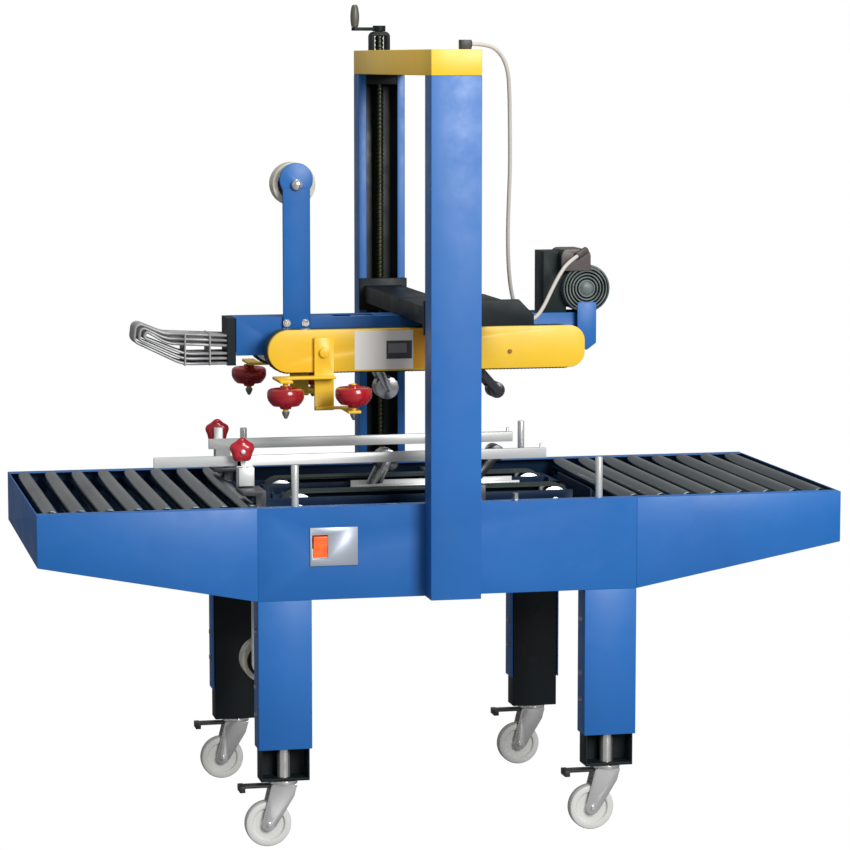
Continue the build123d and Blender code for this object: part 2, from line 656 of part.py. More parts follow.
def belt(x0, x1, y, z, radius):
    """A closed flat belt round two pulleys."""
    mid = (x0 + x1) / 2
    span = x1 - x0
    outer = SlotCenterToCenter(span, 2 * (radius + BELT_THICKNESS))
    inner = SlotCenterToCenter(span, 2 * radius + 2 * GAP)
    band = extrude(outer - inner, amount=BELT_WIDTH)
    return Pos(mid, y + BELT_WIDTH / 2, z) * (Rot(90, 0, 0) * band)


def pulley_shaft(x, z, radius, belt_y, half_length):
    """A through shaft with two pulleys, one for each belt."""
    shaft = rod_y(SHAFT_R, x, (-half_length, half_length), z)
    for sign in (-1, 1):
        y = sign * belt_y
        half = BELT_WIDTH / 2 - 1
        shaft += rod_y(radius, x, (y - half, y + half), z)
    return shaft


def lower_gearmotor():
    """Gearbox on the lower drive shaft, with its motor lying along the bed."""
    spacer_y = (BELT_PLATE_BACK, BELT_PLATE_BACK + 12)
    box_y = (spacer_y[1], spacer_y[1] + GEARBOX_DEPTH)
    box_x = (LOWER_PULLEY_X - 40, LOWER_PULLEY_X + 40)
    box_z = (BED_BOTTOM + 48, DECK_Z - 2)
    case = block(box_x, box_y, box_z)
    motor_z = box_z[0] + 18 + LOWER_MOTOR_R
    case += rod_x(LOWER_MOTOR_R, (box_x[0] - LOWER_MOTOR_LENGTH, box_x[0]), sum(box_y) / 2, motor_z)
    case += rod_y(28.0, LOWER_PULLEY_X, spacer_y, LOWER_PULLEY_Z - 28)
    bore_y = (spacer_y[0] - 1, box_y[1] + 1)
    return case - rod_y(SHAFT_R + RUNNING, LOWER_PULLEY_X, bore_y, LOWER_PULLEY_Z)


# ---- head ----


def slider():
    """Operator's end of the carriage: a plate, a neck in the column and a nut."""
    face_y = -PANEL_Y + GAP
    half = SLIDER_WIDTH / 2
    z = (SLIDER_BOTTOM, SLIDER_TOP)
    plate = block((-half, half), (face_y, face_y + SLIDER_THICKNESS), z)
    neck_half = COLUMN_WIDTH / 2 - COLUMN_LIP - 1.0
    inner_z = (z[0] + 6, z[1] - 6)
    plate += block((-neck_half, neck_half), (-PANEL_Y - SHEET - 2, face_y), inner_z)
    nut_half = COLUMN_WIDTH / 2 - SHEET - 2.0
    plate += block((-nut_half, nut_half), (-COLUMN_Y + SHEET + 4, -PANEL_Y - SHEET - 1), inner_z)
    return plate - rod_z(SCREW_R + RUNNING, 0, -SCREW_Y, z)


def gusset():
    """The black gusset that braces the beam at the operator's side."""
    back = -PANEL_Y + GAP + SLIDER_THICKNESS
    z = (BODY_TOP, BEAM_TOP + GUSSET_RISE)
    plan = [
        (BEAM_WIDTH / 2, back),
        (GUSSET_X, back),
        (GUSSET_X, GUSSET_Y),
        (BEAM_WIDTH / 2, GUSSET_Y + 90),
    ]
    box = Pos(0, 0, z[0]) * extrude(make_face(Polyline(*plan, close=True)), amount=z[1] - z[0])
    outline = [
        (SLIDER_WIDTH / 2, z[0]),
        (GUSSET_TIP_X, z[0]),
        (GUSSET_TIP_X, z[0] + 22),
        (GUSSET_TIP_X - 33, SLIDER_TOP),
        (SLIDER_WIDTH / 2, SLIDER_TOP),
    ]
    return box + plate_y(outline, (back - SLIDER_THICKNESS, back))


def carriage_beam():
    """The black cross beam, its slider plates and the nuts on the lead screws."""
    half = BEAM_WIDTH / 2
    end_y = PANEL_Y - GAP - SLIDER_THICKNESS
    beam = block((-half, half), (-end_y, end_y), (BODY_TOP, BEAM_TOP))
    inside = half - BEAM_WALL
    beam -= block((-inside, inside), (-end_y, end_y), (BODY_TOP + BEAM_WALL, BEAM_TOP - BEAM_WALL))
    return beam + gusset() + slider() + far(slider())


def head_body():
    """The central head box: top sheet, side plates, end plate, stand-offs and tubes."""
    w = BODY_HALF_WIDTH
    z = (BODY_BOTTOM, BODY_TOP - BODY_SHEET)
    cut_z = (BODY_TOP - 10, BODY_TOP + 1)
    body = block((BODY_LEFT, BODY_RIGHT), (-w, w), (BODY_TOP - BODY_SHEET, BODY_TOP))
    side = block((BODY_LEFT, BODY_RIGHT), (-w, -w + BODY_SHEET), z)
    body += side + far(side)
    body += block((BODY_RIGHT - BODY_SHEET, BODY_RIGHT), (-w, w), z)
    plate_x = (BODY_RIGHT - MOTOR_PLATE_WIDTH, BODY_RIGHT)
    plate_y_near = -COWL_FACE_Y - GAP
    plate_z = (BODY_BOTTOM, BODY_TOP + MOTOR_PLATE_RISE)
    body += block(plate_x, (plate_y_near - BODY_SHEET, plate_y_near), plate_z)
    body += block(plate_x, (plate_y_near, -w), (BODY_BOTTOM + 14, BODY_BOTTOM + 30))
    corner = [
        (BODY_RIGHT - 22, BODY_BOTTOM - 1),
        (BODY_RIGHT + 1, BODY_BOTTOM - 1),
        (BODY_RIGHT + 1, BODY_BOTTOM + 16),
    ]
    body -= plate_y(corner, (plate_y_near - 10, w + 10))
    body -= block((HEAD_PLATE_LEFT - 50, HEAD_PLATE_LEFT + 45), (-w + 14, w - 14), cut_z)
    body -= block((UPPER_DRIVE_X - 40, UPPER_DRIVE_X + 40), (-w + 8, w - 8), cut_z)
    for x in (UPPER_IDLER_X, UPPER_DRIVE_X):
        body -= rod_y(SHAFT_R + RUNNING, x, (-w - 1, w + 1), UPPER_PULLEY_Z)
    guard_inside = GUARD_FACE_Y - GUARD_SHEET
    for x in STAND_OFFS:
        for sign in (-1, 1):
            body += rod_y(STAND_OFF_R, x, (sign * w, sign * guard_inside), UPPER_PULLEY_Z)
    for sign in (-1, 1):
        y = (sign * w, sign * (guard_inside - 4))
        tube = rod_y(SLIDE_TUBE_R, SQUEEZE_PLATE_X, y, UPPER_PULLEY_Z)
        bore_y = (sign * (w - BODY_SHEET - 1), sign * guard_inside)
        body += tube
        body -= rod_y(SLIDE_ROD_R + RUNNING, SQUEEZE_PLATE_X, bore_y, UPPER_PULLEY_Z)
    return body


def guard_face(inset):
    """The guard's outline: a round nose at the infeed end, rounded corners at the other."""
    low = GUARD_BOTTOM + inset
    high = GUARD_TOP - inset
    nose_r = (high - low) / 2
    nose_x = GUARD_LEFT + inset + nose_r
    right = GUARD_RIGHT - inset
    r = GUARD_CORNER_R - inset
    mid = (low + high) / 2
    edges = [
        Line((nose_x, high), (right - r, high)),
        RadiusArc((right - r, high), (right, high - r), r),
        Line((right, high - r), (right, low + r)),
        RadiusArc((right, low + r), (right - r, low), r),
        Line((right - r, low), (nose_x, low)),
        ThreePointArc((nose_x, low), (nose_x - nose_r, mid), (nose_x, high)),
    ]
    return Plane.XZ * make_face(edges)


def belt_guard():
    """The operator's belt guard: a shallow tray that covers the upper belt."""
    depth = GUARD_SHEET + GUARD_RIM
    tray = Pos(0, -GUARD_FACE_Y + depth, 0) * extrude(guard_face(0), amount=depth)
    hollow = extrude(guard_face(GUARD_SHEET), amount=GUARD_RIM + 1)
    tray -= Pos(0, -GUARD_FACE_Y + depth + 1, 0) * hollow
    hole_y = (-GUARD_FACE_Y - 1, -GUARD_FACE_Y + 3)
    return tray - rod_y(SLIDE_ROD_R + 0.5, SQUEEZE_PLATE_X, hole_y, UPPER_PULLEY_Z)


def upper_gearmotor():
    """Motor with its fan cowl, gearbox, terminal box and cable gland."""
    foot_w = BODY_HALF_WIDTH - 10
    foot_x = (UPPER_DRIVE_X - 38, UPPER_DRIVE_X + 38)
    case_x = (UPPER_DRIVE_X - 21, UPPER_DRIVE_X + 33)
    case_top = MOTOR_Z + 83
    motor = block(foot_x, (-foot_w, foot_w), (UPPER_PULLEY_Z - 20, BODY_TOP))
    motor += block(case_x, (-40, 40), (BODY_TOP, case_top))
    motor += rod_y(MOTOR_R, MOTOR_X, (-50, 110), MOTOR_Z)
    motor += rod_y(COWL_R, MOTOR_X, (-COWL_FACE_Y, -14), MOTOR_Z)
    lid = block((case_x[1] - 20, MOTOR_X + 8), (-68, 30), (MOTOR_Z + 40, case_top + 6))
    motor += fillet(lid.edges().filter_by(Axis.Y).group_by(Axis.Z)[-1], 16.0)
    end = Vector(MOTOR_X, -COWL_FACE_Y, MOTOR_Z) + Vector(*MOTOR_GLAND)
    gland = Plane(origin=end, z_dir=Vector(*MOTOR_GLAND_AIM)) * Circle(GLAND_R)
    motor += extrude(gland, amount=32)
    return motor - rod_y(SHAFT_R + RUNNING, UPPER_DRIVE_X, (-foot_w - 1, foot_w + 1), UPPER_PULLEY_Z)


def tape_arm():
    """A flat upright bar with a round top, and the axle that the tape roll turns on."""
    y = (-BODY_HALF_WIDTH - TAPE_ARM_THICKNESS, -BODY_HALF_WIDTH)
    half = TAPE_ARM_WIDTH / 2
    bar = block((TAPE_ARM_X - half, TAPE_ARM_X + half), y, (BODY_TOP - 50, TAPE_AXLE_Z))
    bar += rod_y(TAPE_ARM_HEAD_R, TAPE_ARM_X, y, TAPE_AXLE_Z + TAPE_ARM_HEAD_RISE)
    axle = rod_y(TAPE_AXLE_R, TAPE_ARM_X, (y[0] - 6, TAPE_ROLL_WIDTH / 2 + 8), TAPE_AXLE_Z)
    return bar + axle


def tape_roll(x, z):
    """A roll of tape on its core and hub, bored for the axle."""
    half = TAPE_ROLL_WIDTH / 2
    roll = rod_y(TAPE_ROLL_R, x, (-half, half), z)
    return roll - rod_y(TAPE_AXLE_R + RUNNING, x, (-half - 1, half + 1), z)


def tape_head_plates(face, away):
    """Two side plates of a tape head; away is +1 above the carton and -1 below it."""
    low = face + away * 3.0
    high = face + away * HEAD_PLATE_HEIGHT
    y = (-HEAD_PLATE_Y, -HEAD_PLATE_Y + HEAD_PLATE)
    plate = block((HEAD_PLATE_LEFT, HEAD_PLATE_RIGHT), y, (low, high))
    plates = plate + far(plate)
    pivot_z = face + away * PIVOT_ABOVE_BELT
    for x in (FRONT_PIVOT_X, REAR_PIVOT_X):
        plates += rod_y(PIVOT_R, x, (-HEAD_PLATE_Y, HEAD_PLATE_Y), pivot_z)
    tie_z = high - away * 8.0
    for x in (HEAD_PLATE_LEFT + 10, HEAD_PLATE_RIGHT - 10):
        plates += rod_y(5.0, x, (-HEAD_PLATE_Y, HEAD_PLATE_Y), tie_z)
    return plates


def roller_arm(pivot_x, pivot_z, roller_x, roller_z, roller_r):
    """Two arm plates between a pivot tube and a taping roller."""
    outer = HEAD_PLATE_Y - HEAD_PLATE - 1.0
    inner = outer - ARM_PLATE
    y = (-outer, -inner)
    dx = roller_x - pivot_x
    dz = roller_z - pivot_z
    length = math.hypot(dx, dz)
    side_x = -dz / length * 9.0
    side_z = dx / length * 9.0
    outline = [
        (pivot_x + side_x, pivot_z + side_z),
        (roller_x + side_x, roller_z + side_z),
        (roller_x - side_x, roller_z - side_z),
        (pivot_x - side_x, pivot_z - side_z),
    ]
    plate = plate_y(outline, y)
    plate += rod_y(11.0, pivot_x, y, pivot_z)
    plate += rod_y(9.0, roller_x, y, roller_z)
    arm = plate + far(plate)
    arm += rod_y(10.0, pivot_x, (-outer, outer), pivot_z)
    half = min(ARM_ROLLER_WIDTH / 2, inner)
    arm += rod_y(roller_r, roller_x, (-half, half), roller_z)
    arm += rod_y(5.0, roller_x, (-outer, outer), roller_z)
    return arm - rod_y(PIVOT_R + RUNNING, pivot_x, (-outer - 1, outer + 1), pivot_z)


def lower_tape_frame():
    """The lower tape head's plates and the hanging bar for the lower tape roll."""
    plates = tape_head_plates(CARTON_FLOOR, -1)
    y = (-BODY_HALF_WIDTH - TAPE_ARM_THICKNESS, -BODY_HALF_WIDTH)
    half = TAPE_ARM_WIDTH / 2
    bar = block((-CROSS_X + SHEET, LOWER_ROLL_X + 20), y, (TIE_BOTTOM, BED_TOP - 100))
    bar += block((LOWER_ROLL_X - half, LOWER_ROLL_X + half), y, (LOWER_ROLL_Z, TIE_BOTTOM))
    bar += rod_y(half, LOWER_ROLL_X, y, LOWER_ROLL_Z)
    bar += rod_y(TAPE_AXLE_R, LOWER_ROLL_X, (y[0] - 6, TAPE_ROLL_WIDTH / 2 + 8), LOWER_ROLL_Z)
    return [plates, bar]


def ski_rod(y, inset):
    """One hairpin rod of the infeed ski, rising towards its round tip."""
    start_x = BODY_LEFT - SKI_FOOT
    z = BODY_BOTTOM
    route = [
        (start_x, y, z - 17 + inset),
        (start_x - 99 + 0.3 * inset, y, z - 17 + inset),
        (start_x - 206 + inset, y, z + 35 + 0.35 * inset),
        (start_x - 201 + inset, y, z + 77 - 0.9 * inset),
        (start_x - 139 + 0.3 * inset, y, z + 51 - inset),
        (start_x, y, z + 44 - inset),
    ]
    tip = 15.0 - 0.4 * inset
    path = FilletPolyline(*route, radius=[90.0, tip, 0.8 * tip, 70.0])
    start = Plane(origin=path @ 0, z_dir=path % 0)
    return sweep(start * Circle(SKI_ROD_R), path=path)


def infeed_ski():
    """Nested hairpin rods held by two comb plates, on a black foot at the head's end."""
    half = BODY_HALF_WIDTH - BODY_SHEET
    foot_x = (BODY_LEFT - SKI_FOOT, BODY_LEFT)
    foot = block(foot_x, (-half, half), (BODY_BOTTOM - 22, BODY_TOP))
    rods = []
    for layer in range(SKI_LAYERS):
        for index in range(SKI_RODS):
            y = (index - (SKI_RODS - 1) / 2) * SKI_PITCH
            rods.append(ski_rod(y, layer * SKI_LAYER_STEP))
    for x in (foot_x[0] - 40, foot_x[0] - 95):
        z = (BODY_BOTTOM - 21, BODY_BOTTOM + 50)
        rods.append(block((x, x + SKI_COMB), (-half, half), z))
    ski = rods[0]
    ski += rods[1:]
    return [foot, ski]


def head_cable():
    """The motor cable, hanging free between its two glands."""
    points = [Vector(*point) for point in CABLE_ROUTE]
    radii = []
    for before, here, after in zip(points, points[1:], points[2:]):
        run_in = here - before
        run_out = after - here
        turn = math.radians(run_in.get_angle(run_out))
        shorter = min(run_in.length, run_out.length)
        radii.append(0.45 * shorter / math.tan(turn / 2))
    path = FilletPolyline(*points, radius=radii)
    start = Plane(origin=path @ 0, z_dir=path % 0)
    tube = sweep(start * Circle(CABLE_D / 2), path=path)
    ideal = math.pi * (CABLE_D / 2) ** 2 * path.length
    print("cable radii", [round(r) for r in radii])
    print("cable length", round(path.length), "volume ratio", round(tube.volume / ideal, 4))
    return tube


# ---- side squeeze rollers ----


def squeeze_arm():
    """Operator's side: upright plate, slide rod, and an arm and axle for each roller."""
    back = -SQUEEZE_PLATE_Y
    outer = back - SQUEEZE_PLATE_T
    half = SQUEEZE_PLATE_WIDTH / 2
    bar = SQUEEZE_BAR
    tip_y = -SQUEEZE_ROLLER_Y - bar
    bottom = HEAD_BELT_BOTTOM - SQUEEZE_PLATE_DROP
    x = (SQUEEZE_PLATE_X - half, SQUEEZE_PLATE_X + half)
    front_x = (SQUEEZE_FRONT_X - bar, SQUEEZE_FRONT_X + bar)
    rear_x = (SQUEEZE_REAR_X - bar, SQUEEZE_REAR_X + bar)
    arm = block(x, (outer, back), (bottom, bottom + SQUEEZE_PLATE_HEIGHT))
    arm += rod_y(SLIDE_ROD_R, SQUEEZE_PLATE_X, (back, -BODY_HALF_WIDTH - 3), UPPER_PULLEY_Z)
    arm += rod_y(11.0, SQUEEZE_PLATE_X, (outer - 7, outer), UPPER_PULLEY_Z)
    reach = SQUEEZE_ROLLER_HEIGHT / 2 + SQUEEZE_HUB + 6
    above = (SQUEEZE_ROLLER_Z + reach, SQUEEZE_ROLLER_Z + reach + 6)
    below = (SQUEEZE_ROLLER_Z - reach - 6, SQUEEZE_ROLLER_Z - reach)
    arm += block((front_x[0], x[1]), (outer - 2 * bar, outer), above)
    arm += block(front_x, (tip_y, outer), above)
    arm += block((x[0], rear_x[1]), (outer - bar, outer), below)
    arm += block(rear_x, (tip_y, outer), below)
    arm += rod_z(SQUEEZE_AXLE_R, SQUEEZE_FRONT_X, -SQUEEZE_ROLLER_Y, (below[0], above[0]))
    arm += rod_z(SQUEEZE_AXLE_R, SQUEEZE_REAR_X, -SQUEEZE_ROLLER_Y, (below[1], above[0] - 4))
    return arm


def squeeze_roller(x, y):
    """A soft roller with rounded rims, on its upright axle."""
    half = SQUEEZE_ROLLER_HEIGHT / 2
    hub_z = (SQUEEZE_ROLLER_Z - half - SQUEEZE_HUB, SQUEEZE_ROLLER_Z + half + SQUEEZE_HUB)
    roller = rod_z(SQUEEZE_ROLLER_R, x, y, (SQUEEZE_ROLLER_Z - half, SQUEEZE_ROLLER_Z + half))
    roller = chamfer(roller.edges().filter_by(GeomType.CIRCLE), 4.0)
    roller += rod_z(2 * SQUEEZE_AXLE_R, x, y, hub_z)
    return roller - rod_z(SQUEEZE_AXLE_R + RUNNING, x, y, (hub_z[0] - 1, hub_z[1] + 1))


# ---- guide rails ----


def guide_rail(left):
    """Operator's rail: a bar on two posts, and the shoes that slide on the cross bars."""
    back = -RAIL_Y - RAIL_T
    rail = block((left, RAIL_RIGHT), (back, -RAIL_Y), (RAIL_BOTTOM, RAIL_BOTTOM + RAIL_HEIGHT))
    foot_top = BED_TOP + 22.0
    post_y = (back - RAIL_POST_T, back)
    clamp_x = (RAIL_FRONT_POST_X - 8, RAIL_FRONT_POST_X + 26)
    rail += block(clamp_x, (post_y[0] - 16, -RAIL_Y), (RAIL_BOTTOM - CLAMP_HEIGHT, RAIL_BOTTOM))
    rail_top = RAIL_BOTTOM + RAIL_HEIGHT
    rail += rod_z(3.0, RAIL_RIGHT - 12, back + RAIL_T / 2, (rail_top, rail_top + 10))
    rail += rod_y(KNOB_STUD_R, RAIL_FRONT_POST_X, (post_y[0] - KNOB_T - 6, post_y[0]), KNOB_Z)
    shoes = []
    hole = BAR_SIZE / 2 + GAP
    for post_x, bar_x, top in (
        (RAIL_FRONT_POST_X, FRONT_BAR_X, KNOB_Z + 12),
        (RAIL_REAR_POST_X, RAIL_REAR_POST_X, rail_top),
    ):
        rail += block((post_x - 10, post_x + 10), post_y, (foot_top, top))
        foot_x = (min(post_x, bar_x) - 11, max(post_x, bar_x) + 11)
        shoe = block(foot_x, (RAIL_FOOT_Y[0], back), (foot_top - 10, foot_top))
        shoe += block((bar_x - 11, bar_x + 11), RAIL_FOOT_Y, (BAR_Z - 11, foot_top))
        bore_y = (RAIL_FOOT_Y[0] - 1, RAIL_FOOT_Y[1] + 1)
        shoe -= block((bar_x - hole, bar_x + hole), bore_y, (BAR_Z - hole, BAR_Z + hole))
        shoes.append(shoe)
    return [rail, *shoes]


def rail_knob():
    """A five-lobed hand knob that clamps the front post."""
    face_y = -RAIL_Y - RAIL_T - RAIL_POST_T - GAP
    y = (face_y - KNOB_T, face_y)
    lobe_r = 10.0
    reach = KNOB_R - lobe_r
    knob = rod_y(KNOB_R - lobe_r + 1, RAIL_FRONT_POST_X, y, KNOB_Z)
    for index in range(5):
        angle = math.radians(72 * index + 90)
        x = RAIL_FRONT_POST_X + reach * math.cos(angle)
        knob += rod_y(lobe_r, x, y, KNOB_Z + reach * math.sin(angle))
    return knob - rod_y(KNOB_STUD_R + RUNNING, RAIL_FRONT_POST_X, (y[0] - 1, y[1] + 1), KNOB_Z)


# ---- power switch ----


def switch_plate():
    """A plate on the operator's panel, open behind the rocker."""
    x = (SWITCH_LEFT, SWITCH_LEFT + SWITCH_WIDTH)
    z = (SWITCH_BOTTOM, SWITCH_BOTTOM + SWITCH_HEIGHT)
    plate = block(x, (-SWITCH_FACE_Y, -PANEL_Y), z)
    return plate - rocker_opening((-SWITCH_FACE_Y - 1, -PANEL_Y + 1))


def power_rocker():
    """A rocker that stands tilted in one of its two places."""
    x = SWITCH_LEFT + ROCKER_INSET
    z = SWITCH_BOTTOM + SWITCH_HEIGHT / 2
    rocker = Box(ROCKER_WIDTH, 8.0, ROCKER_HEIGHT)
    rocker = fillet(rocker.edges().filter_by(Axis.X), 1.5)
    return Pos(x, -SWITCH_FACE_Y - 1.5, z) * (Rot(ROCKER_TILT, 0, 0) * rocker)


def build_frame():
    """Everything that stands still on the bed, and the legs."""
    panel = side_panel()
    corners = [(x, y) for y in (-1, 1) for x in (-1, 1)]
    save("near_side_panel", panel - rocker_opening((-PANEL_Y - 1, -INNER_Y + 1)))
    save("far_side_panel", far(panel))
    save("outer_legs", [outer_leg(x, y) for x, y in corners])
    save("inner_legs", [inner_leg(x, y) for x, y in corners])
    save("roller_table_frames", [roller_table(-1), roller_table(1)])
    rollers = []
    for index in range(ROLLER_COUNT):
        x = FIRST_ROLLER_X + index * ROLLER_PITCH
        rollers += [conveyor_roller(-x), conveyor_roller(x)]
    save("conveyor_rollers", rollers)
    save("bed_deck", bed_deck())
    save("rail_brackets", rail_brackets())
    save("near_column", column())
    save("far_column", far(column()))
    save("bridge_cover", bridge_cover())
    save("frame_fittings", frame_fittings())
    save("switch_plate", switch_plate())
    save("power_rocker", power_rocker())


def build_lift():
    """The lead screws, their chain and the crank."""
    crank_z = BRIDGE_TOP + CRANK_BRACKET_HEIGHT
    save("near_lead_screw", lead_screw(-SCREW_Y, BRIDGE_TOP - SHEET - 4))
    save("far_lead_screw", lead_screw(SCREW_Y, crank_z + 12))
    save("screw_chain", screw_chain())
    save("crank_arm", crank_arm())
    save("crank_grip", crank_grip())


def build_casters():
    for y_sign, side in ((-1, "near"), (1, "far")):
        for x_sign, end in ((-1, "infeed"), (1, "outfeed")):
            place = caster_place(x_sign, y_sign)
            save(f"{side}_{end}_caster_fork", [place * piece for piece in caster_fork()])
            save(f"{side}_{end}_caster_wheel", place * caster_wheel())


def build_belts():
    """Lower and upper belts with their pulley shafts, and the lower gearmotor."""
    x, z, r = LOWER_PULLEY_X, LOWER_PULLEY_Z, LOWER_PULLEY_R
    save("lower_belts", both_sides(belt(-x, x, -LOWER_BELT_Y, z, r)))
    end = BELT_PLATE_BACK + 2
    save("lower_drive_pulleys", pulley_shaft(x, z, r, LOWER_BELT_Y, end))
    save("lower_idler_pulleys", pulley_shaft(-x, z, r, LOWER_BELT_Y, end))
    save("lower_gearmotor", lower_gearmotor())
    z, r = UPPER_PULLEY_Z, UPPER_PULLEY_R
    save("upper_belts", both_sides(belt(UPPER_IDLER_X, UPPER_DRIVE_X, -UPPER_BELT_Y, z, r)))
    end = UPPER_BELT_Y + BELT_WIDTH / 2 + 3.0
    save("upper_drive_pulleys", pulley_shaft(UPPER_DRIVE_X, z, r, UPPER_BELT_Y, end))
    save("upper_idler_pulleys", pulley_shaft(UPPER_IDLER_X, z, r, UPPER_BELT_Y, end))


def build_tape_heads():
    save("lower_tape_frame", lower_tape_frame())
    save("lower_tape_roll", tape_roll(LOWER_ROLL_X, LOWER_ROLL_Z))
    save("upper_tape_frame", tape_head_plates(HEAD_BELT_BOTTOM, 1))
    save("upper_tape_roll", tape_roll(TAPE_ARM_X, TAPE_AXLE_Z))
    save("tape_arm", tape_arm())
    for name, face, away in (("upper", HEAD_BELT_BOTTOM, 1), ("lower", CARTON_FLOOR, -1)):
        pivot_z = face + away * PIVOT_ABOVE_BELT
        front_z = face - away * FRONT_ROLLER_REACH
        rear_z = face - away * REAR_ROLLER_REACH
        front = roller_arm(FRONT_PIVOT_X, pivot_z, FRONT_ROLLER_X, front_z, FRONT_ROLLER_R)
        rear = roller_arm(REAR_PIVOT_X, pivot_z, REAR_ROLLER_X, rear_z, REAR_ROLLER_R)
        save(f"{name}_front_roller_arm", front)
        save(f"{name}_rear_roller_arm", rear)


def build_head():
    """What the carriage carries, with its cable."""
    save("carriage_beam", carriage_beam())
    save("head_body", head_body())
    save("near_belt_guard", belt_guard())
    save("far_belt_guard", far(belt_guard()))
    save("upper_gearmotor", upper_gearmotor())
    save("infeed_ski", infeed_ski())
    save("head_cable", head_cable())
    save("near_squeeze_arm", squeeze_arm())
    save("far_squeeze_arm", far(squeeze_arm()))
    for sign, side in ((-1, "near"), (1, "far")):
        y = sign * SQUEEZE_ROLLER_Y
        save(f"{side}_front_squeeze_roller", squeeze_roller(SQUEEZE_FRONT_X, y))
        save(f"{side}_rear_squeeze_roller", squeeze_roller(SQUEEZE_REAR_X, y))


def build_rails():
    save("near_guide_rail", guide_rail(NEAR_RAIL_LEFT))
    save("far_guide_rail", [far(piece) for piece in guide_rail(FAR_RAIL_LEFT)])
    save("near_rail_knob", rail_knob())
    save("far_rail_knob", far(rail_knob()))


os.makedirs("parts", exist_ok=True)
build_frame()
build_lift()
build_casters()
build_belts()
build_tape_heads()
build_head()
build_rails()
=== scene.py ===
import json
import math

import bmesh
import bpy
from mathutils import Matrix, Vector

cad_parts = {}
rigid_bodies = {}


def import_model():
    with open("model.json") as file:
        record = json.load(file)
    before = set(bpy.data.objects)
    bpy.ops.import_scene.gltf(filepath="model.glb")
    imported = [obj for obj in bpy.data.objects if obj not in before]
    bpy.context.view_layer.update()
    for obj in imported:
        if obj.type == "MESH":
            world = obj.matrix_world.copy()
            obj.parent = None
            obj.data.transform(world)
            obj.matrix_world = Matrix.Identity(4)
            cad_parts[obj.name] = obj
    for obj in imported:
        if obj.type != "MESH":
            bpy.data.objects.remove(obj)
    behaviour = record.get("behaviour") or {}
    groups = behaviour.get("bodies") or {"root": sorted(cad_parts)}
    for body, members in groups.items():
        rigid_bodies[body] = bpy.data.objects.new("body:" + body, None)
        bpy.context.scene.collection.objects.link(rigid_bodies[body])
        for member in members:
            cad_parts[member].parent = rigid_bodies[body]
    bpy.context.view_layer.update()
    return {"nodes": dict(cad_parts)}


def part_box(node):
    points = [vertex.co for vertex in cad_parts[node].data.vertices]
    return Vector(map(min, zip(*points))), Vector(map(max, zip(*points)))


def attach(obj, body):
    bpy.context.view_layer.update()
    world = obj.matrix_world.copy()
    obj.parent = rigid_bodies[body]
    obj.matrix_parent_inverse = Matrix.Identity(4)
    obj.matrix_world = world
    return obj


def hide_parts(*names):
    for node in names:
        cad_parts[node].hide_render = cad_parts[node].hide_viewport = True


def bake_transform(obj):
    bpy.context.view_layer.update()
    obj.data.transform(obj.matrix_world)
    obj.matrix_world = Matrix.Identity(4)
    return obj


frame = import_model()
scene = bpy.context.scene

# ---- Camera ----
# A long lens a little above the operator's eye level, turned towards the outfeed end.
camera_data = bpy.data.cameras.new("view_camera")
camera_data.sensor_width = 36.0
camera_data.lens = 132.66
camera = bpy.data.objects.new("view_camera", camera_data)
scene.collection.objects.link(camera)
camera.location = (-1.4694, -6.863, 1.6794)
camera.rotation_euler = (math.radians(90.0) - 0.1154, 0.0, -0.2143)
camera_data.clip_end = 50.0
scene.camera = camera
scene.view_settings.view_transform = "Standard"

# ---- Side panels ----
# Two folded steel sheets, powder coated blue, that carry everything else.
# Their edges are eased, and the paint has a faint orange peel.


def link(node_tree, source, target):
    node_tree.links.new(source, target)


